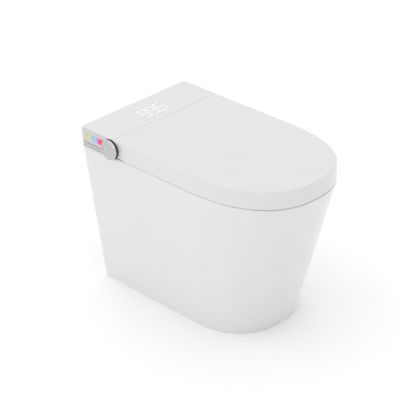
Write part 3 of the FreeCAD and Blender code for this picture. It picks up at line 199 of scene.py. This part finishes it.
# ---------------------------------------------------------------- surfaces
class Finish:
    """A procedural surface: a shader with clouds in its colour, an uneven gloss and a fine grain.

    A scale counts a noise's cells along a metre. A stretch below 1 draws a pattern out along that axis."""

    # Noise values where the clouds' two colours are pure, the lowest roughness, and the grain's detail
    CLOUD_EDGES = (0.3, 0.7)
    SMOOTHEST = 0.02
    GRAIN_DETAIL = 2.0

    def __init__(self, name, tint, roughness, metallic=0.0):
        self.material = bpy.data.materials.new(name)
        self.material.use_nodes = True
        self.tree = self.material.node_tree
        self.shader = self.tree.nodes["Principled BSDF"]
        self.shader.inputs["Base Color"].default_value = (*tint, 1)
        self.shader.inputs["Roughness"].default_value = roughness
        self.shader.inputs["Metallic"].default_value = metallic
        self.tint = tint
        self.roughness = roughness

    def node(self, kind, **sockets):
        """A new node with values on its sockets."""
        made = self.tree.nodes.new(kind)
        for name, value in sockets.items():
            made.inputs[name].default_value = value
        return made

    def link(self, source, target):
        self.tree.links.new(source, target)

    def drive(self, socket, source):
        """Feeds one of the shader's sockets."""
        self.link(source, self.shader.inputs[socket])

    def place(self, stretch=(1, 1, 1), centre=(0, 0, 0)):
        """Object coordinates, centred and stretched."""
        where = self.node("ShaderNodeTexCoord")
        mapping = self.node("ShaderNodeMapping")
        mapping.inputs["Scale"].default_value = stretch
        mapping.inputs["Location"].default_value = [-c * s for c, s in zip(centre, stretch)]
        self.link(where.outputs["Object"], mapping.inputs["Vector"])
        return mapping.outputs["Vector"]

    def along(self, axis):
        """The object coordinate on one axis, X, Y or Z."""
        split = self.node("ShaderNodeSeparateXYZ")
        self.link(self.place(), split.inputs["Vector"])
        return split.outputs[axis]

    def noise(self, scale, detail=3.0, stretch=(1, 1, 1)):
        made = self.node("ShaderNodeTexNoise", Scale=scale, Detail=detail)
        self.link(self.place(stretch), made.inputs["Vector"])
        return made.outputs["Fac"]

    def span(self, source, start, end, low=0.0, high=1.0):
        """The source's range from start to end, spread from low to high."""
        limits = {"From Min": start, "From Max": end, "To Min": low, "To Max": high}
        made = self.node("ShaderNodeMapRange", **limits)
        self.link(source, made.inputs["Value"])
        return made.outputs["Result"]

    def ramp(self, source, stops):
        """A colour for each value of the source, from stops of a position and a colour."""
        made = self.node("ShaderNodeValToRGB")
        while len(made.color_ramp.elements) < len(stops):
            made.color_ramp.elements.new(0.5)
        for stop, (position, tint) in zip(made.color_ramp.elements, stops):
            stop.position = position
            stop.color = (*tint, 1)
        self.link(source, made.inputs["Fac"])
        return made.outputs["Color"]

    def relief(self, source, depth):
        """A bump of the given depth in metres."""
        bump = self.node("ShaderNodeBump", Strength=1.0, Distance=depth)
        self.link(source, bump.inputs["Height"])
        self.drive("Normal", bump.outputs["Normal"])
        return self

    def mottle(self, scale, amount, stretch=(1, 1, 1)):
        """The colour drifts by the share amount, in clouds of the given scale."""
        deep = [c * (1 - amount) for c in self.tint]
        pale = [min(c * (1 + amount), 1) for c in self.tint]
        stops = list(zip(self.CLOUD_EDGES, (deep, pale)))
        self.drive("Base Color", self.ramp(self.noise(scale, stretch=stretch), stops))
        return self

    def wear(self, scale, amount, stretch=(1, 1, 1)):
        """The roughness drifts up and down by amount."""
        low, high = max(self.roughness - amount, self.SMOOTHEST), self.roughness + amount
        self.drive("Roughness", self.span(self.noise(scale, stretch=stretch), 0, 1, low, high))
        return self

    def grain(self, scale, depth, stretch=(1, 1, 1)):
        """Fine relief of the given depth in metres."""
        return self.relief(self.noise(scale, self.GRAIN_DETAIL, stretch), depth)

    def coat(self, weight, roughness):
        self.shader.inputs["Coat Weight"].default_value = weight
        self.shader.inputs["Coat Roughness"].default_value = roughness
        return self

    def glow(self, tint, strength):
        self.shader.inputs["Emission Color"].default_value = (*tint, 1)
        self.shader.inputs["Emission Strength"].default_value = strength
        return self


def glazed_ceramic(c):
    """Fired glaze: nearly even white, faint clouds, and a very shallow orange peel under a glassy coat."""
    made = Finish("glazed_ceramic", c.glaze, roughness=0.16)
    made.mottle(scale=9, amount=0.012)
    made.wear(scale=30, amount=0.03)
    made.grain(scale=55, depth=0.00005)
    return made.coat(weight=0.2, roughness=0.06)


def gloss_lid(c):
    """Moulded gloss plastic under a softer coat than the glaze's."""
    made = Finish("gloss_lid", c.lid, roughness=0.24)
    made.mottle(scale=14, amount=0.008)
    made.wear(scale=40, amount=0.03)
    made.grain(scale=900, depth=0.000004)
    return made.coat(weight=0.25, roughness=0.1)


def satin_silver(c):
    """Satin metal drawn lengthwise: fine scratches run along Y."""
    made = Finish("satin_silver", c.silver, roughness=0.32, metallic=1.0)
    made.mottle(scale=60, amount=0.05, stretch=(1, 0.06, 1))
    made.wear(scale=500, amount=0.07, stretch=(1, 0.02, 1))
    return made.grain(scale=2600, depth=0.000006, stretch=(1, 0.015, 1))


def brushed_steel(c):
    """Steel brushed along X."""
    made = Finish("brushed_steel", c.steel, roughness=0.28, metallic=1.0)
    made.mottle(scale=80, amount=0.05, stretch=(0.05, 1, 1))
    made.wear(scale=700, amount=0.08, stretch=(0.03, 1, 1))
    return made.grain(scale=2500, depth=0.000008, stretch=(0.02, 1, 1))


def turned_silver(c):
    """Turned metal: fine rings round the knob's axis on a satin face, with painted light in its colour: a
    painted highlight on the cut rim, a painted shade line at a groove behind it, and a wall made paler by a
    painted reflection.
    """
    low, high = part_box("knob_cap")
    made = Finish("turned_silver", c.silver, roughness=0.26, metallic=1.0)
    radius = made.node("ShaderNodeVectorMath")
    radius.operation = "LENGTH"
    made.link(made.place((0, 1, 1), (low + high) / 2), radius.inputs[0])
    rings = made.node("ShaderNodeTexNoise", Scale=2400.0, Detail=2.0)
    rings.noise_dimensions = "1D"
    made.link(radius.outputs["Value"], rings.inputs["W"])
    made.relief(rings.outputs["Fac"], depth=0.000012)
    made.drive("Roughness", made.span(rings.outputs["Fac"], 0, 1, low=0.18, high=0.32))
    # Painted light in the metal's colour from the face inwards, over the first 4 mm: face, painted
    # highlight on the cut rim, painted shade at the groove, painted reflection on the paler wall
    painted_band_depth = 0.004
    painted_light_bands = [(0.0, 0.86), (0.03, 0.86), (0.06, 1.3), (0.26, 1.3), (0.32, 0.72), (0.5, 1.12), (1.0, 1.15)]
    stops = [(position, [value * level for value in c.silver]) for position, level in painted_light_bands]
    made.drive("Base Color", made.ramp(made.span(made.along("X"), low.x, low.x + painted_band_depth), stops))
    return made


def tinted_display(c):
    """A window lit in hues that run along Y; the light fades out towards the window's edges."""
    low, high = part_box("display_lens")
    made = Finish("tinted_display", c.unlit, roughness=0.12)
    # Hues from the window's rear end to its front
    hues = [(0.0, c.unlit), (0.06, c.unlit), (0.13, (0.78, 0.40, 0.12)), (0.21, (0.50, 0.66, 0.16)),
            (0.31, (0.36, 0.62, 0.46)), (0.42, (0.15, 0.50, 0.72)), (0.54, (0.44, 0.44, 0.66)),
            (0.66, (0.60, 0.20, 0.58)), (0.75, (0.74, 0.02, 0.42)), (0.83, (0.72, 0.01, 0.05)),
            (0.92, (0.78, 0.11, 0.0)), (1.0, (0.74, 0.36, 0.02))]
    # How much of the hue shows, from the window's foot to its top
    levels = [(0.0, 0.0), (0.01, 0.0), (0.12, 1.0), (0.84, 1.0), (0.96, 0.0), (1.0, 0.0)]
    lit = made.ramp(made.span(made.along("Y"), high.y, low.y), hues)
    greys = [(position, (level, level, level)) for position, level in levels]
    shown = made.ramp(made.span(made.along("Z"), low.z, high.z), greys)
    mix = made.node("ShaderNodeMix")
    mix.data_type = "RGBA"
    mix.inputs["A"].default_value = (*c.unlit, 1)
    made.link(shown, mix.inputs["Factor"])
    made.link(lit, mix.inputs["B"])
    made.drive("Base Color", mix.outputs["Result"])
    made.glow(c.unlit, strength=0.1)
    made.drive("Emission Color", mix.outputs["Result"])
    made.grain(scale=400, depth=0.000003)
    return made.coat(weight=0.3, roughness=0.05)


def lit_bar(c):
    """A pale bar that gives off a little light of its own."""
    made = Finish("lit_bar", c.light, roughness=0.4)
    made.mottle(scale=300, amount=0.01)
    made.grain(scale=600, depth=0.000005)
    return made.glow(c.light, strength=0.08)


SPECIAL_FINISHES = {maker.__name__: maker for maker in (
    glazed_ceramic, gloss_lid, satin_silver, brushed_steel, turned_silver, tinted_display, lit_bar)}
# The others: colour, roughness and metallic, then the (scale, amount) of mottle and of wear, and the
# (scale, depth) of grain
PLAIN_FINISHES = {
    "moulded_white": ("shell", 0.48, 0.0, (40, 0.02), (70, 0.05), (1600, 0.00001)),
    "moulded_grey": ("grey", 0.45, 0.0, (60, 0.05), (80, 0.06), (1500, 0.000015)),
    "moulded_dark": ("motor", 0.5, 0.0, (120, 0.15), (90, 0.08), (1800, 0.00002)),
    "dark_gloss": ("dark", 0.2, 0.0, (200, 0.2), (300, 0.05), (2000, 0.000005)),
    "key_grey": ("key", 0.3, 0.0, (120, 0.03), (120, 0.04), (1700, 0.000006)),
    "soft_rubber": ("bumper", 0.75, 0.0, (80, 0.06), (100, 0.06), (1200, 0.00004)),
    "dark_rubber": ("seal", 0.7, 0.0, (60, 0.12), (90, 0.07), (900, 0.00005)),
    "zinc_plate": ("zinc", 0.36, 1.0, (45, 0.08), (60, 0.1), (700, 0.00001)),
    "turned_brass": ("brass", 0.28, 1.0, (50, 0.06), (90, 0.08), (900, 0.00001)),
    "copper_foil": ("copper", 0.34, 1.0, (30, 0.08), (50, 0.1), (400, 0.00003)),
    "carbon_block": ("carbon", 0.85, 0.0, (900, 0.5), (500, 0.1), (1500, 0.00025)),
    "circuit_board": ("board", 0.35, 0.0, (300, 0.25), (200, 0.08), (800, 0.00003)),
}
# Which CAD nodes take each finish; the knob's cap is dressed with its mark
NODE_FINISHES = {
    "glazed_ceramic": ["ceramic_deck", "ceramic_front", "ceramic_sides", "ceramic_back", "ceramic_bowl",
                       "ceramic_trapway"],
    "gloss_lid": ["lid", "top_cover", "seat_top_shell", "seat_base_shell", "wash_unit_cover"],
    "moulded_white": ["housing_base", "nozzle_guide", "dryer_housing", "deodoriser_housing", "dryer_flap",
                      "flush_tank", "tank_cover", "inlet_valve", "control_module"],
    "moulded_grey": ["dryer_impeller", "deodoriser_impeller", "knob_base", "knob_carrier", "fill_valve",
                     "flush_pump", "power_gland", "power_module", "flush_pipe"],
    "moulded_dark": ["dryer_motor", "deodoriser_motor", "wash_pump", "readout_module", "lid_hinge_drive",
                     "seat_hinge_drive"],
    "soft_rubber": ["lid_bumpers", "seat_bumpers"],
    "dark_rubber": ["outlet_seal"],
    "brushed_steel": ["lid_shaft", "seat_shaft", "rear_nozzle", "front_nozzle", "instant_heater"],
    "zinc_plate": ["housing_bolts", "housing_nuts", "floor_brackets", "dryer_heater"],
    "satin_silver": ["side_panel"],
    "key_grey": ["panel_key_1", "panel_key_2", "panel_key_3", "panel_key_4"],
    "dark_gloss": ["knob_bezel"],
    "turned_brass": ["water_inlet"],
    "copper_foil": ["seat_heater_foil"],
    "tinted_display": ["display_lens"],
    "carbon_block": ["carbon_filter"],
    "circuit_board": ["control_board"],
}
# Materials by the name of their finish, once made
MADE_SURFACES = {}


def plain_finish(name, colours):
    """A finish from the table."""
    tint, roughness, metallic, mottle, wear, grain = PLAIN_FINISHES[name]
    made = Finish(name, getattr(colours, tint), roughness, metallic)
    return made.mottle(*mottle).wear(*wear).grain(*grain)


def surface(name):
    """The material of one finish, made at its first use."""
    if name not in MADE_SURFACES:
        colours = bpy.context.scene.toilet_colours
        made = SPECIAL_FINISHES[name](colours) if name in SPECIAL_FINISHES else plain_finish(name, colours)
        MADE_SURFACES[name] = made.material
    return MADE_SURFACES[name]


# ---------------------------------------------------------------- mesh helpers
# Points along rounded forms: an edge over the lid or housing, its section, the nose, the panel's foot
TOP_POINTS = 9
SECTION_POINTS = 6
NOSE_POINTS = 97
FOOT_POINTS = 7
# Rings and spokes of the knob's mark, sides of the readout's point
MARK_RINGS = 6
MARK_SPOKES = 32
POINT_SIDES = 16


def add_object(name, data):
    """A new object in the scene."""
    made = bpy.data.objects.new(name, data)
    bpy.context.scene.collection.objects.link(made)
    return made


def new_piece(name, verts, faces, material, body, smooth=True):
    """A piece from its corners and faces, which rides on a body."""
    mesh = bpy.data.meshes.new(name)
    mesh.from_pydata(verts.tolist(), [], faces)
    mesh.validate()
    mesh.polygons.foreach_set("use_smooth", np.full(len(mesh.polygons), smooth))
    mesh.materials.append(material)
    piece = add_object(name, mesh)
    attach(piece, body)
    return piece


def grid_faces(rows, columns):
    """Quads between the rows of a grid of points; each row closes on itself."""
    row, column = np.meshgrid(np.arange(rows - 1), np.arange(columns), indexing="ij")
    here = row * columns + column
    beside = row * columns + (column + 1) % columns
    return np.stack([here, beside, beside + columns, here + columns], axis=-1).reshape(-1, 4)


def prisms(outlines, bottom, top):
    """Upright prisms: each flat outline at two heights, with quads between them and a face at each end."""
    verts, faces, start = [], [], 0
    for outline in outlines:
        count = len(outline)
        verts += [np.column_stack([outline, np.full(count, height)]) for height in (bottom, top)]
        ring = start + np.arange(count)
        after = np.roll(ring, -1)
        faces += [(ring + count).tolist(), ring[::-1].tolist()]
        faces += np.stack([ring, after, after + count, ring + count], axis=1).tolist()
        start += 2 * count
    return np.vstack(verts), faces


def smoothed(mesh, outwards=False):
    """Corners merged, curves smooth and real edges crisp; a closed new mesh is also turned outwards."""
    sizes = bpy.context.scene.toilet_sizes
    work = bmesh.new()
    work.from_mesh(mesh)
    bmesh.ops.remove_doubles(work, verts=work.verts, dist=sizes.merge)
    bmesh.ops.dissolve_degenerate(work, edges=work.edges, dist=sizes.merge)
    if outwards:
        bmesh.ops.recalc_face_normals(work, faces=work.faces)
    for face in work.faces:
        face.smooth = True
    for edge in work.edges:
        edge.smooth = len(edge.link_faces) == 2 and edge.calc_face_angle(math.pi) < sizes.sharp
    work.to_mesh(mesh)
    work.free()


def weigh(piece):
    """Wide faces set the shading, and crisp edges stay crisp."""
    piece.modifiers.new("weighted", "WEIGHTED_NORMAL").keep_sharp = True


def dressed_copy(node, material):
    """A smoothed copy of a CAD node with its finish, which stands for the node."""
    mesh = NODES[node].data.copy()
    smoothed(mesh)
    mesh.materials.clear()
    mesh.materials.append(material)
    piece = add_object(node + "_dressed", mesh)
    weigh(piece)
    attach(piece, BODY_OF[node])
    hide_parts(node)


def loft(name, grid, material, node):
    """A closed solid through the rows of a grid of points, each row a closed section; goes with a node."""
    rows, columns = grid.shape[:2]
    ring = np.arange(columns)
    ends = [ring.tolist(), (ring[::-1] + (rows - 1) * columns).tolist()]
    faces = grid_faces(rows, columns).tolist() + ends
    piece = new_piece(name, grid.reshape(-1, 3), faces, material, BODY_OF[node])
    smoothed(piece.data, outwards=True)
    weigh(piece)


def over_the_top(half_width, corner, low):
    """Stations from the left wall over a flat top to the right one, its corners quarter circles: x, height
    over the top, and x and z of the direction outwards. Both ends lie the distance low under the top."""
    turn = np.linspace(0, np.pi / 2, TOP_POINTS)
    x = half_width - corner + corner * np.sin(turn)
    arc = np.stack([x, corner * (np.cos(turn) - 1), np.sin(turn), np.cos(turn)], axis=1)
    right = np.vstack([arc, [half_width, -low, 1, 0]])
    left = right[::-1] * np.array([-1, 1, -1, 1])
    return np.vstack([left, right])


# ---------------------------------------------------------------- operators
class TOILET_OT_stage(bpy.types.Operator):
    """Pale floor, soft sky, three round lamps and the camera"""

    bl_idname = "toilet.stage"
    bl_label = "Stage"

    # Round lamps: the setting of each one's power, its place and its diameter; and the point that they face
    LAMPS = {
        "key_lamp": ("key", (-1.4, 1.3, 4.6), 3.2),
        "fill_lamp": ("fill", (3.4, -0.8, 2.0), 2.4),
        "low_lamp": ("low", (-2.9, -1.5, 0.45), 0.8),
    }
    LAMP_AIM = (0, 0, 0.25)
    # Width of the camera's sensor in millimetres, and how far it sees in metres
    SENSOR = 36
    FARTHEST = 100

    def execute(self, context):
        view = context.scene.toilet_view
        self.floor(view.floor / 2, context.scene.toilet_colours.floor)
        self.sky(context, view)
        for name, (setting, place, size) in self.LAMPS.items():
            self.lamp(name, Vector(place), size, getattr(view, setting))
        self.camera(context, view)
        context.scene.view_settings.view_transform = "Standard"
        return {"FINISHED"}

    def floor(self, half, tint):
        """A flat matte square round the origin."""
        mesh = bpy.data.meshes.new("floor")
        corners = [(-half, -half, 0), (half, -half, 0), (half, half, 0), (-half, half, 0)]
        mesh.from_pydata(corners, [], [(0, 1, 2, 3)])
        floor = add_object("floor", mesh)
        pale = Finish("pale_floor", tint, roughness=0.9).mottle(scale=3, amount=0.004)
        pale.shader.inputs["Specular IOR Level"].default_value = 0.0
        mesh.materials.append(pale.material)

    def sky(self, context, view):
        """A white sky for camera, gloss and glass; its soft light falls off evenly towards the dim side."""
        world = bpy.data.worlds.new("studio")
        world.use_nodes = True
        nodes, links = world.node_tree.nodes, world.node_tree.links
        light = nodes["Background"]
        light.inputs["Color"].default_value = (1, 1, 1, 1)
        where = nodes.new("ShaderNodeTexCoord")
        towards = nodes.new("ShaderNodeVectorMath")
        towards.operation = "DOT_PRODUCT"
        towards.inputs[1].default_value = (math.sin(view.dim_azimuth), -math.cos(view.dim_azimuth), 0)
        links.new(where.outputs["Generated"], towards.inputs[0])
        strength = nodes.new("ShaderNodeMapRange")
        strength.inputs["From Min"].default_value = -1.0
        strength.inputs["To Min"].default_value = view.sky * (1 + view.dim)
        strength.inputs["To Max"].default_value = view.sky * (1 - view.dim)
        links.new(towards.outputs["Value"], strength.inputs["Value"])
        links.new(strength.outputs["Result"], light.inputs["Strength"])
        seen = nodes.new("ShaderNodeBackground")
        seen.inputs["Color"].default_value = (1, 1, 1, 1)
        seen.inputs["Strength"].default_value = 1.0
        path = nodes.new("ShaderNodeLightPath")
        direct, either = nodes.new("ShaderNodeMath"), nodes.new("ShaderNodeMath")
        direct.operation = either.operation = "MAXIMUM"
        links.new(path.outputs["Is Camera Ray"], direct.inputs[0])
        links.new(path.outputs["Is Glossy Ray"], direct.inputs[1])
        links.new(direct.outputs["Value"], either.inputs[0])
        links.new(path.outputs["Is Transmission Ray"], either.inputs[1])
        mix = nodes.new("ShaderNodeMixShader")
        links.new(either.outputs["Value"], mix.inputs["Fac"])
        links.new(light.outputs["Background"], mix.inputs[1])
        links.new(seen.outputs["Background"], mix.inputs[2])
        links.new(mix.outputs["Shader"], nodes["World Output"].inputs["Surface"])
        context.scene.world = world

    def lamp(self, name, place, size, watts):
        """A round lamp that faces the toilet."""
        data = bpy.data.lights.new(name, "AREA")
        data.shape = "DISK"
        data.size = size
        data.energy = watts
        turn = (Vector(self.LAMP_AIM) - place).to_track_quat("-Z", "Y").to_matrix().to_4x4()
        add_object(name, data).matrix_world = Matrix.Translation(place) @ turn

    def camera(self, context, view):
        """A camera at the view's distance from its target, rolled about its line of sight."""
        azimuth, elevation, roll = view.azimuth, view.elevation, view.roll
        level = math.cos(elevation)
        back = Vector((math.sin(azimuth) * level, -math.cos(azimuth) * level, math.sin(elevation)))
        right = Vector((math.cos(azimuth), math.sin(azimuth), 0))
        up = back.cross(right)
        rolled = right * math.cos(roll) + up * math.sin(roll)
        upright = up * math.cos(roll) - right * math.sin(roll)
        data = bpy.data.cameras.new("camera")
        data.lens = view.lens
        data.sensor_width = self.SENSOR
        data.clip_end = self.FARTHEST
        camera = add_object("camera", data)
        turn = Matrix((rolled, upright, back)).transposed().to_4x4()
        camera.matrix_world = Matrix.Translation(Vector(view.target) + back * view.distance) @ turn
        context.scene.camera = camera


class TOILET_OT_carried(bpy.types.Operator):
    """Every construction node that keeps its shape, with merged corners and its finish"""

    bl_idname = "toilet.carried"
    bl_label = "Carried pieces"

    def execute(self, context):
        for finish, nodes in NODE_FINISHES.items():
            for node in nodes:
                dressed_copy(node, surface(finish))
        return {"FINISHED"}


class TOILET_OT_knob(bpy.types.Operator):
    """Knob cap, and the dark inlay in its dimple: a shallow bowl, deepest in its middle"""

    bl_idname = "toilet.knob"
    bl_label = "Knob"

    def execute(self, context):
        """The inlay's depth falls with the square of the distance from its middle."""
        dressed_copy("knob_cap", surface("turned_silver"))
        low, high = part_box("knob_cap")
        sizes = context.scene.toilet_sizes
        out = np.linspace(0, 1, MARK_RINGS)[:, None]
        turn = np.linspace(0, 2 * np.pi, MARK_SPOKES, endpoint=False)[None, :]
        y = high.y - sizes.mark_inset + sizes.mark_radius * out * np.cos(turn)
        z = (low.z + high.z) / 2 + sizes.mark_radius * out * np.sin(turn)
        x = low.x + sizes.mark_depth * (1 - sizes.mark_bowl * out ** 2) + 0 * turn
        grid = np.stack([x, y, z], axis=-1)
        verts = np.vstack([grid[:1, 0], grid[1:].reshape(-1, 3)])
        ring = 1 + np.arange(MARK_SPOKES)
        fan = np.stack([0 * ring, np.roll(ring, -1), ring], axis=1)
        quads = grid_faces(MARK_RINGS - 1, MARK_SPOKES)[:, ::-1] + 1
        faces = fan.tolist() + quads.tolist()
        piece = new_piece("knob_mark", verts, faces, surface("moulded_dark"), "knob")
        return {"FINISHED"}


class TOILET_OT_edges(bpy.types.Operator):
    """Thin lips that narrow the gaps round the lid, and the side panel's foot"""

    bl_idname = "toilet.edges"
    bl_label = "Edges"

    # Corners of the housing's lip, as depths under its top
    LIP_DEPTHS = np.array([0.00015, 0.0005, 0.001, 0.002, 0.003, 0.004])

    def execute(self, context):
        sizes = context.scene.toilet_sizes
        self.lid_rear_edge(sizes)
        self.housing_front_edge(sizes)
        self.lid_lower_edge(sizes)
        self.panel_lower_edge(sizes)
        return {"FINISHED"}

    def lid_rear_edge(self, sizes):
        """A crisp rear edge over the lid's rounded one: a section with a small quarter circle, carried over
        the lid's top outline."""
        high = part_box("lid")[1]
        stations = over_the_top(high.x, sizes.lid_round, sizes.lid_round + sizes.edge_drop)
        turn = np.linspace(0, np.pi / 2, SECTION_POINTS)
        y = np.concatenate([[-sizes.edge_reach], sizes.edge_round * (np.sin(turn) - 1),
                            [0, -sizes.edge_root, -sizes.edge_reach]])
        inset = np.concatenate([[0], sizes.edge_round * (1 - np.cos(turn)),
                                [sizes.edge_depth, sizes.edge_depth, sizes.edge_tip]]) - sizes.edge_skin
        x, z, nx, nz = (stations[:, i, None] for i in range(4))
        grid = np.stack([x - nx * inset, high.y + y + 0 * x, high.z + z - nz * inset], axis=-1)
        loft("lid_rear_edge", grid, surface("gloss_lid"), "lid")

    def housing_front_edge(self, sizes):
        """A lip on the housing's front. Its front and back are arcs about the hinge axis, where y is the
        root of the radius squared less the height squared; the front arc stops at a plane before the
        housing."""
        low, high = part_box("top_cover")
        hinge = next(joint for joint in BEHAVIOUR["joints"] if joint["name"] == "lid_hinge")
        axis_y, axis_z = hinge["pos_m"][1:]
        half_width = high.x - sizes.lip_side
        stations = over_the_top(half_width, sizes.cover_round, sizes.cover_round + sizes.lip_drop)
        down = np.concatenate([[sizes.lip_skin], self.LIP_DEPTHS])
        depth = np.concatenate([down, down[::-1]])
        height = high.z + stations[:, 1, None] - depth
        over = height - axis_z
        near = np.maximum(np.sqrt(sizes.lip_inner ** 2 - over ** 2), low.y - axis_y - sizes.lip_reach)
        near[:, 0] += sizes.lip_bevel
        far = np.sqrt(sizes.lip_outer ** 2 - over ** 2)
        y = axis_y + np.where(np.arange(len(depth)) < len(down), near, far)
        grid = np.stack([stations[:, 0, None] + 0 * y, y, height], axis=-1)
        loft("housing_front_edge", grid, surface("gloss_lid"), "top_cover")

    def lid_lower_edge(self, sizes):
        """The lid's inner lip: straight sides, and a nose that is half a superellipse, where x is the half
        width times a power of the cosine and y the nose's depth times the same power of the sine. The inset
        grows with the sine, from the sides to the tip."""
        low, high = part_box("lid")
        root = low.z + sizes.rim_root
        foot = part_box("ceramic_deck")[1].z + sizes.rim_clearance
        turn = np.linspace(0, np.pi, NOSE_POINTS)
        c, s = np.cos(turn), np.sin(turn)
        outer = sizes.rim_inset + (sizes.rim_nose_inset - sizes.rim_inset) * s
        inner = sizes.rim_inner + 0 * s
        inset = np.stack([outer, outer, outer + sizes.rim_bevel, inner, inner], axis=1)
        height = np.array([root, foot + sizes.rim_bevel, foot, foot, root])
        shoulder = low.y + sizes.nose_depth
        exponent = 2 / sizes.nose_power
        x = (high.x - inset) * (np.sign(c) * np.abs(c) ** exponent)[:, None]
        y = shoulder - (shoulder - low.y - inset) * (np.abs(s) ** exponent)[:, None]
        nose = np.stack([x, y, height + 0 * x], axis=-1)
        ahead, end = nose[[0, -1]], nose[[0, -1]]
        ahead[..., 1] = sizes.rim_rear - sizes.rim_fade
        end[..., 1] = sizes.rim_rear
        end[..., 2] = root - sizes.rim_end * (root - end[..., 2])
        grid = np.concatenate([end[:1], ahead[:1], nose, ahead[1:], end[1:]])
        loft("lid_lower_edge", grid, surface("gloss_lid"), "lid")

    def panel_lower_edge(self, sizes):
        """The panel's foot over the ceramic's edge: a flat bar, its rear lower corner a quarter circle."""
        low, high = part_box("side_panel")
        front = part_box("knob_cap")[0].y + sizes.foot_front
        turn = np.linspace(0, np.pi / 2, FOOT_POINTS)
        y = np.concatenate([[front], high.y - sizes.foot_round * (1 - np.sin(turn))])
        rise = np.concatenate([[0], sizes.foot_round * (1 - np.cos(turn))])
        bottom = low.z - sizes.foot_height + rise
        top = low.z + sizes.foot_root + 0 * rise
        z = np.stack([top, bottom + sizes.foot_bevel, bottom, bottom, top], axis=1)
        outer = low.x + sizes.foot_inset
        x = np.array([outer, outer, outer + sizes.foot_bevel, high.x, high.x])
        grid = np.stack([x + 0 * z, y[:, None] + 0 * z, z], axis=-1)
        loft("panel_lower_edge", grid, surface("satin_silver"), "side_panel")


class TOILET_OT_readout(bpy.types.Operator):
    """Lit seven-bar digits that show through the housing's top"""

    bl_idname = "toilet.readout"
    bl_label = "Readout"

    # Lit bars of each digit: a on top, b and c right, d at the foot, e and f left, g in the middle
    BARS = {"0": "abcdef", "1": "bc", "2": "abged", "3": "abgcd", "4": "fgbc", "5": "afgcd", "6": "afgecd",
            "7": "abc", "8": "abcdefg", "9": "abcdfg"}

    def bar(self, centre, half_length, half_width, upright):
        """A flat six-sided bar: two long sides and a point at each end."""
        neck = half_length - half_width
        points = np.array([[half_length, 0], [neck, half_width], [-neck, half_width], [-half_length, 0],
                           [-neck, -half_width], [neck, -half_width]])
        if upright:
            points = points[:, ::-1] * np.array([-1, 1])
        return points + np.array(centre)

    def execute(self, context):
        sizes = context.scene.toilet_sizes
        low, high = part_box("readout_module")
        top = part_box("top_cover")[1].z
        stroke = sizes.digit_stroke
        # A digit between the middles of its outer bars, and where each bar lies in it and whether it stands
        w, h = sizes.digit_width - stroke, sizes.digit_height - stroke
        places = {"a": (0, h / 2, False), "g": (0, 0, False), "d": (0, -h / 2, False),
                  "f": (-w / 2, h / 4, True), "b": (w / 2, h / 4, True),
                  "e": (-w / 2, -h / 4, True), "c": (w / 2, -h / 4, True)}
        middle = (low + high) / 2
        middle.x += sizes.digit_shift
        pitch = sizes.digit_width + sizes.digit_gap
        count = len(sizes.number)
        outlines = []
        for i, digit in enumerate(sizes.number):
            x = middle.x + (i - (count - 1) / 2) * pitch
            for name in self.BARS[digit]:
                dx, dy, upright = places[name]
                reach = (h / 4 if upright else w / 2) - sizes.bar_gap
                outlines.append(self.bar((x + dx, middle.y + dy), reach, stroke / 2, upright))
        turn = np.linspace(0, 2 * np.pi, POINT_SIDES, endpoint=False)
        point = np.stack([np.cos(turn), np.sin(turn)], axis=1) * stroke * sizes.point_size
        outlines.append(point + np.array([middle.x + (count / 2 - 1) * pitch, middle.y - h / 2]))
        verts, faces = prisms(outlines, top - sizes.digit_sink, top + sizes.digit_rise)
        piece = new_piece("readout_digits", verts, faces, surface("lit_bar"), "toilet", smooth=False)
        return {"FINISHED"}


class TOILET_PT_panel(bpy.types.Panel):
    """Sizes, colours and pieces of the toilet"""

    bl_idname = "TOILET_PT_panel"
    bl_label = "Smart toilet"
    bl_space_type = "VIEW_3D"
    bl_region_type = "UI"
    bl_category = "Smart toilet"

    def draw(self, context):
        for group in (context.scene.toilet_view, context.scene.toilet_colours, context.scene.toilet_sizes):
            column = self.layout.box().column()
            for name in group.bl_rna.properties.keys():
                if name not in ("rna_type", "name"):
                    column.prop(group, name)
        for step in STEPS:
            self.layout.operator(step.bl_idname)


STEPS = (TOILET_OT_stage, TOILET_OT_carried, TOILET_OT_knob, TOILET_OT_edges, TOILET_OT_readout)
GROUPS = {"toilet_view": ToiletView, "toilet_colours": ToiletColours, "toilet_sizes": ToiletSizes}
CLASSES = (*GROUPS.values(), *STEPS, TOILET_PT_panel)


def register():
    for cls in CLASSES:
        bpy.utils.register_class(cls)
    for name, group in GROUPS.items():
        setattr(bpy.types.Scene, name, PointerProperty(type=group))


def unregister():
    for name in GROUPS:
        delattr(bpy.types.Scene, name)
    for cls in reversed(CLASSES):
        bpy.utils.unregister_class(cls)


def main():
    register()
    bpy.ops.toilet.stage()
    bpy.ops.toilet.carried()
    bpy.ops.toilet.knob()
    bpy.ops.toilet.edges()
    bpy.ops.toilet.readout()


if __name__ == "__main__":
    main()
